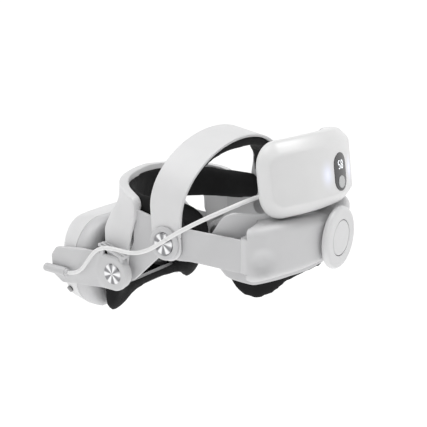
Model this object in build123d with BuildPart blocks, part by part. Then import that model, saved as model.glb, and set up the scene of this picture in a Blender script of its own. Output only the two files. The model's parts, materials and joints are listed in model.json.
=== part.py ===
from build123d import *
from math import asin, cos, pi, radians, sin, sqrt, tan
import os

os.makedirs("parts", exist_ok=True)

# Frame, in millimetres: the origin is the midpoint of the strap pivot axis, in the middle of the head.
# +X is the wearer's left, -Y is forward to the visor, +Z is up.

# Visor body
VISOR_HALF = 88.0
VISOR_TOP = 1.0
VISOR_HEIGHT = 92.0
VISOR_MID_Z = VISOR_TOP - VISOR_HEIGHT / 2
VISOR_CORNER = 36.0
SPLIT_Y = -110.0
VISOR_FRONT = -152.0
VISOR_REAR = -92.0
FRONT_SAG = 20.0
VISOR_TAPER = 8.0
FRONT_ROUND = 18.0
WALL = 2.2

# Visor pivot (y, z) and strap pivot layers, measured along X from the middle
PIVOT_Y = -57.0
PIVOT_Z = -38.0
PIN_R = 4.0
RUNNING = 0.06
BRACKET_IN = 75.4
BRACKET_OUT = 78.4
BAND_IN = 79.3
BAND_OUT = 82.3
CLIP_IN = 83.2
CLIP_OUT = 93.0
ARCH_IN = 82.2
ARCH_OUT = 85.0
CAP_R = 10.0
LOBE_R = 16.0

# Rear ring: housing outline with straight sides, tight corners and a wide back
SIDE_X = 84.0
CORNER_X = 60.0
CORNER_Y = 79.0
CORNER_R = SIDE_X - CORNER_X
BACK_R = 130.0
BACK_CY = CORNER_Y - sqrt((BACK_R - CORNER_R) ** 2 - CORNER_X**2)
BACK_ANGLE = 90.0 - 34.475
NAPE_CY = 30.0
NAPE_R = 76.0
MOUTH_Y = 75.0

# Fit dial and racks
DIAL_Z = 6.0
DIAL_R = 28.0
RACK_MODULE = 1.0
RACK_TEETH = 12

# Battery pack, pitched about X so that its back edge is raised
PACK_PITCH = 8.0
PACK_Y = 100.0
PACK_Z = 66.0
PACK_HEIGHT = 62.0
PACK_R = 85.5
PACK_IN_R = 63.5
PACK_CY = -61.0
PACK_HALF_ANGLE = 57.0

# Top strap, leaning back
ARCH_LEAN = 11.0
ARCH_HALF = 85.0
ARCH_LEG = 36.0
ARCH_RISE = 56.0
ARCH_WIDTH = 36.0
ARCH_SHIFT = -6.0

# Lenses
EYE_HALF = 32.0
EYE_Z = -45.0
IPD_MODULE = 0.5
IPD_WHEEL_Z = -82.0

# Lead
LEAD_D = 3.8
REACH = 130.0


def save(piece, name):
    """Label a finished piece and write it as parts/NAME.step."""
    piece.part.label = name
    export_step(piece.part, f"parts/{name}.step")


def twin(piece):
    """The same piece on the wearer's other side."""
    with BuildPart() as other:
        mirror(piece.part, about=Plane.YZ)
    return other


def side_disc(x_from, x_to, y, z, radius, mode=Mode.ADD):
    """A disc across X, from x_from to x_to, at (y, z)."""
    with BuildSketch(Plane.YZ.offset(x_from)) as disc:
        with Locations((y, z)):
            Circle(radius)
    extrude(disc.sketch, amount=x_to - x_from, mode=mode)


def back_disc(y_from, y_to, x, z, radius, mode=Mode.ADD):
    """A disc across Y, from y_from back to y_to, at (x, z)."""
    with BuildSketch(Plane.XZ.offset(-y_from)) as disc:
        with Locations((x, z)):
            Circle(radius)
    extrude(disc.sketch, amount=y_from - y_to, mode=mode)


def level_disc(z_from, z_to, x, y, radius, mode=Mode.ADD):
    """A disc across Z, from z_from up to z_to, at (x, y)."""
    with BuildSketch(Plane.XY.offset(z_from)) as disc:
        with Locations((x, y)):
            Circle(radius)
    extrude(disc.sketch, amount=z_to - z_from, mode=mode)


def block(x, y, z, mode=Mode.ADD):
    """A box from its low and high limits along each axis."""
    with Locations(((x[0] + x[1]) / 2, (y[0] + y[1]) / 2, (z[0] + z[1]) / 2)):
        Box(x[1] - x[0], y[1] - y[0], z[1] - z[0], mode=mode)


def keep_side_view(points, radius):
    """Cut the piece to an outline drawn in the side view, its corners rounded."""
    with BuildSketch(Plane.YZ.offset(-REACH)) as outline:
        Polygon(*points, align=None)
        fillet(outline.vertices(), radius)
    extrude(outline.sketch, amount=2 * REACH, mode=Mode.INTERSECT)


# ---------------------------------------------------------------- visor shells

def visor_block(inset):
    """The solid front half of the visor, shrunk by inset."""
    with BuildPart() as body:
        with BuildSketch(Plane.XZ.offset(-SPLIT_Y)):
            with Locations((0, VISOR_MID_Z)):
                RectangleRounded(
                    2 * (VISOR_HALF - inset), VISOR_HEIGHT - 2 * inset, VISOR_CORNER - inset
                )
        extrude(amount=60, taper=VISOR_TAPER)
        with BuildSketch(Plane.XY.offset(VISOR_MID_Z - VISOR_HEIGHT)):
            with BuildLine():
                front = VISOR_FRONT + inset
                side = (100, front + FRONT_SAG)
                ThreePointArc((-side[0], side[1]), (0, front), side)
                Polyline(side, (side[0], SPLIT_Y), (-side[0], SPLIT_Y), (-side[0], side[1]))
            make_face()
        extrude(amount=2 * VISOR_HEIGHT, mode=Mode.INTERSECT)
        fillet(body.faces().sort_by(Axis.Y)[0].edges(), FRONT_ROUND - inset)
    return body


outer_block = visor_block(0)
inner_block = visor_block(WALL)
proud_block = visor_block(-0.3)
inlay_block = visor_block(1.0)

with BuildPart() as camera_windows:
    with BuildSketch(Plane.XZ.offset(-VISOR_FRONT - 30)):
        with Locations((-50, VISOR_MID_Z + 8), (50, VISOR_MID_Z + 8)):
            Circle(9)
        with Locations((0, VISOR_MID_Z)):
            SlotOverall(30, 12)
    extrude(amount=40)
    add(proud_block.part, mode=Mode.INTERSECT)
    add(inlay_block.part, mode=Mode.SUBTRACT)
save(camera_windows, "camera_windows")

with BuildPart() as side_cameras:
    with BuildSketch(Plane.YZ.offset(-REACH)):
        with Locations((-127, -72)):
            SlotOverall(13, 6, rotation=35)
    extrude(amount=2 * REACH)
    add(proud_block.part, mode=Mode.INTERSECT)
    add(inlay_block.part, mode=Mode.SUBTRACT)
save(side_cameras, "side_camera_windows")

PORT_Y = -126.0
PORT_Z = -46.0
BUTTON_X = 46.0
BUTTON_Y = -122.0
ROCKER_X = -46.0
ROCKER_Y = -122.0
WHEEL_R = 11.0
WHEEL_Y = (-126.0, -122.4)
JACK_Y = -114.0
JACK_Z = -67.0
JACK_R = 1.8
REAR_WALL = 3.0
SCREW_PLACES = [(side * 71.5, VISOR_MID_Z + up * 33) for side in (-1, 1) for up in (-1, 1)]

with BuildPart() as visor_front:
    add(outer_block.part)
    add(inner_block.part, mode=Mode.SUBTRACT)
    add(camera_windows.part, mode=Mode.SUBTRACT)
    add(side_cameras.part, mode=Mode.SUBTRACT)
    for x, z in SCREW_PLACES:
        back_disc(-122, SPLIT_Y, x, z, 4.2)
        back_disc(-120, SPLIT_Y + 1, x, z, 1.25, mode=Mode.SUBTRACT)
    block((76, 95), (PORT_Y - 5.2, PORT_Y + 5.2), (PORT_Z - 3, PORT_Z + 3), mode=Mode.SUBTRACT)
    level_disc(-95, -84, BUTTON_X, BUTTON_Y, 3.6, mode=Mode.SUBTRACT)
    side_disc(-95, -80, JACK_Y, JACK_Z, JACK_R, mode=Mode.SUBTRACT)
    block((-10, 10), (WHEEL_Y[0] - 0.8, WHEEL_Y[1] + 0.8), (-95, -86), mode=Mode.SUBTRACT)
    block(
        (ROCKER_X - 13, ROCKER_X + 13), (ROCKER_Y - 3, ROCKER_Y + 3), (-95, -84), mode=Mode.SUBTRACT
    )
save(visor_front, "visor_front_shell")

with BuildPart() as visor_rear:
    with BuildSketch(Plane.XZ.offset(-VISOR_REAR)):
        with Locations((0, VISOR_MID_Z)):
            RectangleRounded(2 * VISOR_HALF, VISOR_HEIGHT, VISOR_CORNER)
    extrude(amount=VISOR_REAR - SPLIT_Y)
    fillet(visor_rear.faces().sort_by(Axis.Y)[-1].edges(), 5)
    with BuildSketch(Plane.XZ.offset(-SPLIT_Y)):
        with Locations((0, VISOR_MID_Z)):
            RectangleRounded(2 * (VISOR_HALF - WALL), VISOR_HEIGHT - 2 * WALL, VISOR_CORNER - WALL)
    extrude(amount=SPLIT_Y - VISOR_REAR + REAR_WALL, mode=Mode.SUBTRACT)
    with BuildSketch(Plane.XZ.offset(-VISOR_REAR)):
        with Locations((0, VISOR_MID_Z)):
            RectangleRounded(136, 68, 33)
    extrude(amount=12, both=True, mode=Mode.SUBTRACT)
    for x, z in SCREW_PLACES:
        back_disc(-100, -90, x, z, 1.3, mode=Mode.SUBTRACT)
        back_disc(-94.2, -90, x, z, 2.6, mode=Mode.SUBTRACT)
save(visor_rear, "visor_rear_shell")

with BuildPart() as visor_screws:
    for x, z in SCREW_PLACES:
        back_disc(-120, -94.2, x, z, 1.2)
        back_disc(-94.2, -93.0, x, z, 2.4)
save(visor_screws, "visor_screws")

# ---------------------------------------------------------------- inside the visor

BOARD_Y = -140.0
with BuildPart() as main_board:
    with BuildSketch(Plane.XZ.offset(-BOARD_Y)):
        with Locations((0, VISOR_MID_Z)):
            RectangleRounded(92, 48, 8)
    extrude(amount=1.4)
    with Locations((-28, BOARD_Y - 2.2, VISOR_MID_Z + 4), (27, BOARD_Y - 2.2, VISOR_MID_Z - 6)):
        Box(18, 2.4, 18)
    with Locations((-6, BOARD_Y - 2, VISOR_MID_Z - 14), (6, BOARD_Y - 2, VISOR_MID_Z + 12)):
        Box(12, 2, 8)
save(main_board, "main_board")

FAN_Z = VISOR_MID_Z + 20
with BuildPart() as fan_housing:
    back_disc(-138, -130, 0, FAN_Z, 13.8)
    back_disc(-137, -129, 0, FAN_Z, 12.6, mode=Mode.SUBTRACT)
    back_disc(-137.5, -131, 0, FAN_Z, 1.5)
save(fan_housing, "fan_housing")

with BuildPart() as fan_rotor:
    back_disc(-136, -131, 0, FAN_Z, 4.5)
    with BuildSketch(Plane.XZ.offset(136)):
        with Locations((0, FAN_Z)):
            with PolarLocations(7.6, 9):
                Rectangle(7.6, 1.0)
    extrude(amount=-5)
    back_disc(-140, -129, 0, FAN_Z, 1.5 + RUNNING, mode=Mode.SUBTRACT)
save(fan_rotor, "fan_rotor")

with BuildPart() as visor_cell:
    with Locations((0, -133.5, VISOR_MID_Z - 12)):
        Box(66, 7, 32)
    fillet(visor_cell.edges().filter_by(Axis.Y), 3)
save(visor_cell, "visor_cell")

with BuildPart() as speakers:
    for side in (-1, 1):
        with Locations((side * 74, -101.5, VISOR_MID_Z - 16)):
            Box(12, 9, 22)
    fillet(speakers.edges().filter_by(Axis.Y), 2)
save(speakers, "speakers")

with BuildPart() as usb_port:
    with BuildSketch(Plane.YZ.offset(68)):
        with Locations((PORT_Y, PORT_Z)):
            SlotOverall(9.0, 3.3)
            SlotOverall(8.2, 2.5, mode=Mode.SUBTRACT)
    extrude(amount=9)
    side_disc(66.5, 68, PORT_Y, PORT_Z, 1.6)
    with BuildSketch(Plane.YZ.offset(67)):
        with Locations((PORT_Y, PORT_Z)):
            SlotOverall(9.0, 3.3)
    extrude(amount=1)
save(usb_port, "usb_port")

with BuildPart() as audio_jack:
    side_disc(-88, -68, JACK_Y, JACK_Z, 3.0)
    add(visor_block(WALL + 0.1).part, mode=Mode.INTERSECT)
    side_disc(-88, -69.5, JACK_Y, JACK_Z, JACK_R, mode=Mode.SUBTRACT)
save(audio_jack, "audio_jack")

with BuildPart() as power_button:
    level_disc(-90.8, -85.4, BUTTON_X, BUTTON_Y, 3.4)
    fillet(power_button.faces().sort_by(Axis.Z)[0].edges(), 0.6)
    level_disc(-86.0, -84.6, BUTTON_X, BUTTON_Y, 4.6)
save(power_button, "power_button")

with BuildPart() as volume_rocker:
    block((ROCKER_X - 12.6, ROCKER_X + 12.6), (ROCKER_Y - 2.6, ROCKER_Y + 2.6), (-91.0, -86.6))
    fillet(volume_rocker.edges().filter_by(Axis.Y), 1)
    back_disc(ROCKER_Y - 2.6, ROCKER_Y + 2.6, ROCKER_X, -87.0, 2.4)
save(volume_rocker, "volume_rocker")


LENS_R = 22.9
LENS_APEX = -94.3
LENS_RISE = 4.2
LENS_DOME_R = (LENS_R**2 + LENS_RISE**2) / (2 * LENS_RISE)
LENS_DOME_ANGLE = asin(LENS_R / LENS_DOME_R)


def lens_at(x):
    with BuildPart() as lens:
        with BuildSketch(Plane((x, 0, EYE_Z), x_dir=(1, 0, 0), z_dir=(0, 0, 1))):
            with BuildLine():
                dome = LENS_DOME_R * sin(LENS_DOME_ANGLE / 2)
                rise = LENS_DOME_R * (cos(LENS_DOME_ANGLE / 2) - 1)
                Polyline((0, LENS_APEX), (0, -110), (LENS_R, -110), (LENS_R, LENS_APEX - LENS_RISE))
                ThreePointArc((LENS_R, LENS_APEX - LENS_RISE), (dome, LENS_APEX + rise), (0, LENS_APEX))
            make_face()
        revolve(axis=Axis((x, 0, EYE_Z), (0, 1, 0)))
    return lens


def display_at(x):
    with BuildPart() as panel:
        with Locations((x, -126.0, EYE_Z)):
            Box(36, 1.8, 36)
    return panel


def rack_profile(module, teeth, first):
    """Corners of a rack whose teeth point down; its pitch line is the local X axis."""
    pitch = pi * module
    top = 2.6 * module
    half_pitch_line = 0.40 * pitch / 2
    flank = tan(radians(20))
    corners = [(first - pitch / 2, top), (first - pitch / 2, 1.15 * module)]
    for k in range(teeth):
        centre = first + k * pitch
        root = half_pitch_line + 1.15 * module * flank
        tip = half_pitch_line - 0.85 * module * flank
        corners += [(centre - root, 1.15 * module), (centre - tip, -0.85 * module)]
        corners += [(centre + tip, -0.85 * module), (centre + root, 1.15 * module)]
    last = first + (teeth - 0.5) * pitch
    return corners + [(last, 1.15 * module), (last, top)]


def pinion_profile(module, teeth):
    """Corners of a pinion about the origin with a tooth straight up."""
    pitch_r = module * teeth / 2
    corners = []
    for k in range(teeth):
        middle = 90 - k * 360 / teeth
        for radius, half_mm in ((-1.15, -0.95), (0.85, -0.28), (0.85, 0.28), (-1.15, 0.95)):
            r = pitch_r + radius * module
            angle = radians(middle) - half_mm * module / r
            corners.append((r * cos(angle), r * sin(angle)))
    return corners


RAIL_Y = -113.0
RAIL_HALF = 33.0
IPD_RACK_Y = (-120.6, -118.0)
IPD_PITCH_R = IPD_MODULE * RACK_TEETH / 2

with BuildPart() as ipd_rails:
    for offset_z in (-RAIL_HALF, RAIL_HALF):
        side_disc(-67, 67, RAIL_Y, EYE_Z + offset_z, 1.5)
save(ipd_rails, "eye_spacing_rails")


def carrier_at(side):
    """Lens ring with rail lugs and the arm that holds its rack."""
    x = side * EYE_HALF
    with BuildPart() as carrier:
        back_disc(-124.6, -98, x, EYE_Z, 26)
        for offset_z in (-RAIL_HALF, RAIL_HALF):
            block(
                (x - 8, x + 8),
                (RAIL_Y - 3.5, RAIL_Y + 3.5),
                sorted((EYE_Z + offset_z * 0.7, EYE_Z + offset_z * 1.09)),
            )
        if side > 0:
            rack_z = IPD_WHEEL_Z + IPD_PITCH_R
            block((8, 30), IPD_RACK_Y, (rack_z + 1.0, rack_z + 2.0))
            block((24, 30), IPD_RACK_Y, (rack_z + 1.0, EYE_Z - 22))
        else:
            rack_z = IPD_WHEEL_Z - IPD_PITCH_R
            block((-30, -8), IPD_RACK_Y, (rack_z - 2.0, rack_z - 1.0))
            block((-30, -24), IPD_RACK_Y, (rack_z - 2.0, EYE_Z - 22))
        with BuildSketch(Plane.XZ.offset(-IPD_RACK_Y[1])):
            with Locations(Location((0, rack_z), 0 if side > 0 else 180)):
                Polygon(*rack_profile(IPD_MODULE, 14, -6.5 * pi * IPD_MODULE), align=None)
        extrude(amount=IPD_RACK_Y[1] - IPD_RACK_Y[0])
        back_disc(-130, -90, x, EYE_Z, 23, mode=Mode.SUBTRACT)
        for offset_z in (-RAIL_HALF, RAIL_HALF):
            side_disc(x - 20, x + 20, RAIL_Y, EYE_Z + offset_z, 1.5 + RUNNING, mode=Mode.SUBTRACT)
    return carrier


for label, side in (("left", 1), ("right", -1)):
    lens = lens_at(side * EYE_HALF)
    save(lens, f"lens_{label}")
    display = display_at(side * EYE_HALF)
    save(display, f"display_{label}")
    carrier = carrier_at(side)
    save(carrier, f"lens_carrier_{label}")

with BuildPart() as ipd_wheel:
    back_disc(WHEEL_Y[0], WHEEL_Y[1], 0, IPD_WHEEL_Z, WHEEL_R)
    with BuildSketch(Plane.XZ.offset(-WHEEL_Y[0])):
        with Locations((0, IPD_WHEEL_Z)):
            with PolarLocations(WHEEL_R + 0.3, 30):
                Circle(0.7)
    extrude(amount=WHEEL_Y[0] - WHEEL_Y[1], mode=Mode.SUBTRACT)
    with BuildSketch(Plane.XZ.offset(-WHEEL_Y[1])):
        with Locations((0, IPD_WHEEL_Z)):
            Polygon(*pinion_profile(IPD_MODULE, RACK_TEETH), align=None)
    extrude(amount=WHEEL_Y[1] + 117.0)
save(ipd_wheel, "eye_spacing_wheel")

# ---------------------------------------------------------------- face frame and foam

FACE_HALF = 72.0
FACE_CY = 27.4
FACE_R = 112.0
FACE_SIDE = [
    (-99, -95), (-82, -95), (-73, -86), (-69, -70), (-60, -48), (-57, -28), (-64, -9), (-78, 1),
    (-99, 2),
]

FACE_SPLIT = VISOR_REAR + 0.4
with BuildPart() as face_frame:
    with BuildSketch(Plane.XZ.offset(-FACE_SPLIT)):
        with Locations((0, VISOR_MID_Z)):
            RectangleRounded(140, 84, 36)
            RectangleRounded(122, 62, 30, mode=Mode.SUBTRACT)
    extrude(amount=-2.6)
    with BuildSketch(Plane.XZ.offset(104)):
        with Locations((0, VISOR_MID_Z)):
            RectangleRounded(134, 66, 32)
            RectangleRounded(130, 62, 30, mode=Mode.SUBTRACT)
    extrude(amount=-13)
save(face_frame, "face_frame")

with BuildPart() as face_foam:
    with BuildSketch(Plane.XZ.offset(-FACE_SPLIT - 3.0 + 6.0)):
        with Locations((0, VISOR_MID_Z - 1.5)):
            RectangleRounded(2 * FACE_HALF, 95, 40)
            RectangleRounded(124, 62, 30, mode=Mode.SUBTRACT)
    extrude(amount=-40)
    keep_side_view(FACE_SIDE, 5)
    with BuildSketch(Plane.XY.offset(-REACH)):
        with Locations((0, FACE_CY)):
            Circle(FACE_R)
    extrude(amount=2 * REACH, mode=Mode.SUBTRACT)
    with BuildSketch(Plane.XZ.offset(110)):
        with Locations((0, -102)):
            Ellipse(34, 30)
    extrude(amount=-70, mode=Mode.SUBTRACT)
    with BuildSketch(Plane.XZ.offset(-FACE_SPLIT + 6)):
        with Locations((0, VISOR_MID_Z)):
            RectangleRounded(2 * VISOR_HALF + 9, VISOR_HEIGHT + 9, VISOR_CORNER)
    extrude(amount=-(6 + 2.8), mode=Mode.SUBTRACT)
save(face_foam, "face_foam")

# ---------------------------------------------------------------- front clips, buckle, visor pivots

with BuildPart() as clip_left:
    with BuildSketch(Plane.YZ.offset(88.4)) as clip_outline:
        Polygon(
            (-138, -34), (-131, -25), (-96, -21), (-60, -23), (-60, -52), (-92, -57.5), (-124, -60.5),
            (-137, -53), align=None,
        )
        with Locations((PIVOT_Y, PIVOT_Z)):
            Circle(LOBE_R)
        fillet(clip_outline.vertices(), 3)
    extrude(amount=CLIP_OUT - 88.4)
    fillet(clip_left.faces().sort_by(Axis.X)[-1].edges(), 1.6)
    side_disc(CLIP_IN, 89, PIVOT_Y, PIVOT_Z, LOBE_R - 0.1)
    side_disc(CLIP_IN - 1, 91.0, PIVOT_Y, PIVOT_Z, PIN_R + RUNNING, mode=Mode.SUBTRACT)
    side_disc(91.6, CLIP_OUT + 1, PIVOT_Y, PIVOT_Z, CAP_R + 0.3, mode=Mode.SUBTRACT)
clip_right = twin(clip_left)
save(clip_right, "front_clip_right")

BUCKLE_TILT = 15.0
buckle_plane = Plane(
    origin=(88.9, -58.5, -17.6),
    x_dir=(0, cos(radians(BUCKLE_TILT)), -sin(radians(BUCKLE_TILT))),
    z_dir=(0, sin(radians(BUCKLE_TILT)), cos(radians(BUCKLE_TILT))),
)
with BuildPart() as buckle:
    with BuildSketch(buckle_plane):
        RectangleRounded(33, 10.2, 2.2)
        with Locations((0, -2.3), (0, 2.3)):
            SlotOverall(28, 2.4, mode=Mode.SUBTRACT)
    extrude(amount=2.4)
    block((88.6, 92.4), (-73, -69), (-22.4, -13.4))
    block((88.6, 92.4), (-50, -46), (-26.4, -19.6))
save(buckle, "cable_buckle")

PLUG_X = 97.6
PLUG_Y = (-141.0, -113.0)
with BuildPart() as clip_left_port:
    add(clip_left.part)
    with BuildSketch(Plane.YZ.offset(91.4)):
        with Locations(((PLUG_Y[0] + PLUG_Y[1]) / 2, PORT_Z)):
            SlotOverall(PLUG_Y[1] - PLUG_Y[0] + 6, 11)
    extrude(amount=4, mode=Mode.SUBTRACT)
    block((85, 95), (PORT_Y - 5.2, PORT_Y + 5.2), (PORT_Z - 3, PORT_Z + 3), mode=Mode.SUBTRACT)
    add(buckle.part, mode=Mode.SUBTRACT)
save(clip_left_port, "front_clip_left")


with BuildPart() as visor_pins:
    side_disc(73.4, BRACKET_IN, PIVOT_Y, PIVOT_Z, 7)
    side_disc(BRACKET_IN, 90.4, PIVOT_Y, PIVOT_Z, PIN_R)
    mirror(visor_pins.part, about=Plane.YZ)
save(visor_pins, "visor_pivot_pins")

with BuildPart() as visor_caps:
    side_disc(91.6, 93.9, PIVOT_Y, PIVOT_Z, CAP_R)
    chamfer(visor_caps.faces().sort_by(Axis.X)[-1].edges(), 0.5)
    mirror(visor_caps.part, about=Plane.YZ)
save(visor_caps, "visor_pivot_caps")

# ---------------------------------------------------------------- side brackets and strap pivots

with BuildPart() as bracket_left:
    with BuildSketch(Plane.YZ.offset(BRACKET_IN)) as bracket_outline:
        Polygon(
            (-33, 25), (-14, 19), (10, 10), (10, -9), (-8, -13), (-50, -49), (-66, -30), (-40, -16),
            (-34, -6), align=None,
        )
        with Locations((0, 0)):
            Circle(16)
        with Locations((PIVOT_Y, PIVOT_Z)):
            Circle(12.5)
    extrude(amount=BRACKET_OUT - BRACKET_IN)
    side_disc(BRACKET_IN - 1, BRACKET_OUT + 1, PIVOT_Y, PIVOT_Z, PIN_R, mode=Mode.SUBTRACT)
    side_disc(BRACKET_IN - 1, BRACKET_OUT + 1, 0, 0, PIN_R, mode=Mode.SUBTRACT)
save(bracket_left, "side_bracket_left")
bracket_right = twin(bracket_left)
save(bracket_right, "side_bracket_right")

with BuildPart() as strap_pins:
    side_disc(73.4, BRACKET_IN, 0, 0, 8)
    side_disc(BRACKET_IN, 86.6, 0, 0, PIN_R)
    mirror(strap_pins.part, about=Plane.YZ)
save(strap_pins, "strap_pivot_pins")

with BuildPart() as collars:
    side_disc(ARCH_OUT + 0.4, 88.4, 0, 0, 15.4)
    fillet(collars.faces().sort_by(Axis.X)[-1].edges(), 1.2)
    side_disc(86.6, 89, 0, 0, CAP_R + 0.2, mode=Mode.SUBTRACT)
    side_disc(ARCH_OUT, 87, 0, 0, PIN_R, mode=Mode.SUBTRACT)
    mirror(collars.part, about=Plane.YZ)
save(collars, "strap_collars")

with BuildPart() as strap_caps:
    side_disc(86.6, 89.4, 0, 0, CAP_R)
    chamfer(strap_caps.faces().sort_by(Axis.X)[-1].edges(), 0.5)
    mirror(strap_caps.part, about=Plane.YZ)
save(strap_caps, "strap_pivot_caps")

# ---------------------------------------------------------------- forehead band and top strap

BROW_CY = -30.0
BROW_RY = 68.0
BROW_SIDE = [(-103, 14), (-103, 47), (-80, 43), (-46, 36), (-35, 30), (-35, 8), (-60, 6), (-82, 10)]
LEG_SIDE = [
    (-66, -50), (-69, -36), (-74, -16), (-66, 8), (-58, 26), (-39, 26), (-39, 20), (-47, -14),
    (-50, -36), (-51, -50),
]
with BuildPart() as forehead_band:
    with BuildSketch(Plane.XY.offset(-10)):
        with Locations((0, BROW_CY)):
            Ellipse(BAND_OUT, BROW_RY)
            Ellipse(BAND_OUT - 3, BROW_RY - 3, mode=Mode.SUBTRACT)
    extrude(amount=60)
    keep_side_view(BROW_SIDE, 3)
    for x in (BAND_IN, -BAND_OUT):
        with BuildSketch(Plane.YZ.offset(x)) as leg_outline:
            Polygon(*LEG_SIDE, align=None)
            fillet(leg_outline.vertices(), 3.4)
            with Locations((PIVOT_Y, PIVOT_Z)):
                Circle(12.5)
        extrude(amount=BAND_OUT - BAND_IN)
    side_disc(-REACH, REACH, PIVOT_Y, PIVOT_Z, PIN_R + RUNNING, mode=Mode.SUBTRACT)
save(forehead_band, "forehead_band")

WING_OUT = 73.0
WING_IN = 66.4
with BuildPart() as forehead_pad:
    with BuildSketch(Plane.XY.offset(-10)):
        with Locations((0, BROW_CY)):
            Ellipse(WING_OUT, BROW_RY - 3.2)
            Ellipse(WING_IN, BROW_RY - 13, mode=Mode.SUBTRACT)
        with Locations((0, BROW_CY + 50)):
            Rectangle(2 * WING_OUT + 1, 100, mode=Mode.SUBTRACT)
        for side in (-1, 1):
            with Locations((side * (WING_OUT + WING_IN) / 2, BROW_CY / 2 + 2)):
                Rectangle(WING_OUT - WING_IN, 4 - BROW_CY)
    extrude(amount=70)
    keep_side_view(
        [(-103, 6), (-80, 4), (-34, 5), (3, 9), (3, 35), (-20, 37), (-80, 40), (-103, 44)], 4
    )
save(forehead_pad, "forehead_pad")

lean = radians(ARCH_LEAN)
arch_plane = Plane(
    origin=(0, ARCH_SHIFT, 0), x_dir=(1, 0, 0), z_dir=(0, -cos(lean), sin(lean))
)


def arch_line(inset, foot, crown=0.0):
    """Half-ellipse on straight legs, from foot height up and over, lowered by crown at its top."""
    a = ARCH_HALF - inset
    b = ARCH_RISE - inset - crown
    Line((a, foot), (a, ARCH_LEG))
    EllipticalCenterArc((0, ARCH_LEG), a, b, 0, arc_size=180)
    Line((-a, ARCH_LEG), (-a, foot))


def arch_slab(outer, inner, foot, crown=0.0):
    """The strap's full width between two insets, its underside lowered by crown at the top."""
    with BuildPart() as slab:
        with BuildSketch(arch_plane):
            with BuildLine():
                arch_line(outer, foot)
                arch_line(inner, foot, crown)
                Line((ARCH_HALF - outer, foot), (ARCH_HALF - inner, foot))
                Line((outer - ARCH_HALF, foot), (inner - ARCH_HALF, foot))
            make_face()
        extrude(amount=30, both=True)
    return slab


def lean_point(w, v):
    """Side-view point w across and v up the leaning strap."""
    return (ARCH_SHIFT + v * sin(lean) + w * cos(lean), v * cos(lean) - w * sin(lean))


HALF_W = ARCH_WIDTH / 2
with BuildPart() as top_strap:
    add(arch_slab(0, ARCH_OUT - ARCH_IN, -18).part)
    with BuildSketch(Plane.YZ.offset(-REACH)) as strap_outline:
        Polygon(
            lean_point(-HALF_W, 110), lean_point(HALF_W, 110), lean_point(HALF_W, 24),
            (15.5, 8), (15.5, -2), (-15.5, -2), (-15.5, 8), lean_point(-HALF_W, 24), align=None,
        )
        Circle(16.2)
    extrude(amount=2 * REACH, mode=Mode.INTERSECT)
    side_disc(-REACH, REACH, 0, 0, PIN_R + RUNNING, mode=Mode.SUBTRACT)
save(top_strap, "top_strap")

with BuildPart() as top_lining:
    add(arch_slab(ARCH_OUT - ARCH_IN + 0.1, ARCH_OUT - ARCH_IN + 2.6, 30, crown=8.5).part)
    with BuildSketch(Plane.YZ.offset(-REACH)):
        Polygon(
            lean_point(1.5 - HALF_W, 110), lean_point(HALF_W - 1.5, 110),
            lean_point(HALF_W - 1.5, 31), lean_point(1.5 - HALF_W, 31), align=None,
        )
    extrude(amount=2 * REACH, mode=Mode.INTERSECT)
save(top_lining, "top_strap_lining")


# ---------------------------------------------------------------- rear ring: shared plan curves

def wrap_line(inset, y_start):
    """Housing outline in plan, moved inward by inset, from y_start round the back."""
    r = CORNER_R - inset
    half = radians(BACK_ANGLE / 2)
    full = radians(BACK_ANGLE)
    side = SIDE_X - inset
    middle = (CORNER_X + r * cos(half), CORNER_Y + r * sin(half))
    tangent = (CORNER_X + r * cos(full), CORNER_Y + r * sin(full))
    Line((side, y_start), (side, CORNER_Y))
    ThreePointArc((side, CORNER_Y), middle, tangent)
    ThreePointArc(tangent, (0, BACK_CY + BACK_R - inset), (-tangent[0], tangent[1]))
    ThreePointArc((-tangent[0], tangent[1]), (-middle[0], middle[1]), (-side, CORNER_Y))
    Line((-side, CORNER_Y), (-side, y_start))


def wrap_slab(inset, inner_r, y_start, z_low, z_high):
    """Slab from the housing outline in to a nape cylinder of inner_r, behind y_start."""
    with BuildPart() as slab:
        with BuildSketch(Plane.XY.offset(z_low)):
            with BuildLine():
                wrap_line(inset, y_start)
                Line((SIDE_X - inset, y_start), (inset - SIDE_X, y_start))
            make_face()
            with Locations((0, NAPE_CY)):
                Circle(inner_r, mode=Mode.SUBTRACT)
        extrude(amount=z_high - z_low)
    return slab


def nape_slab(outer_r, inner_r, y_start, z_low, z_high):
    """Slab between two nape cylinders, behind y_start."""
    with BuildPart() as slab:
        with BuildSketch(Plane.XY.offset(z_low)):
            with Locations((0, NAPE_CY)):
                Circle(outer_r)
                Circle(inner_r, mode=Mode.SUBTRACT)
            with Locations((0, y_start - 100)):
                Rectangle(300, 200, mode=Mode.SUBTRACT)
        extrude(amount=z_high - z_low)
    return slab


# ---------------------------------------------------------------- side straps

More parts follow.
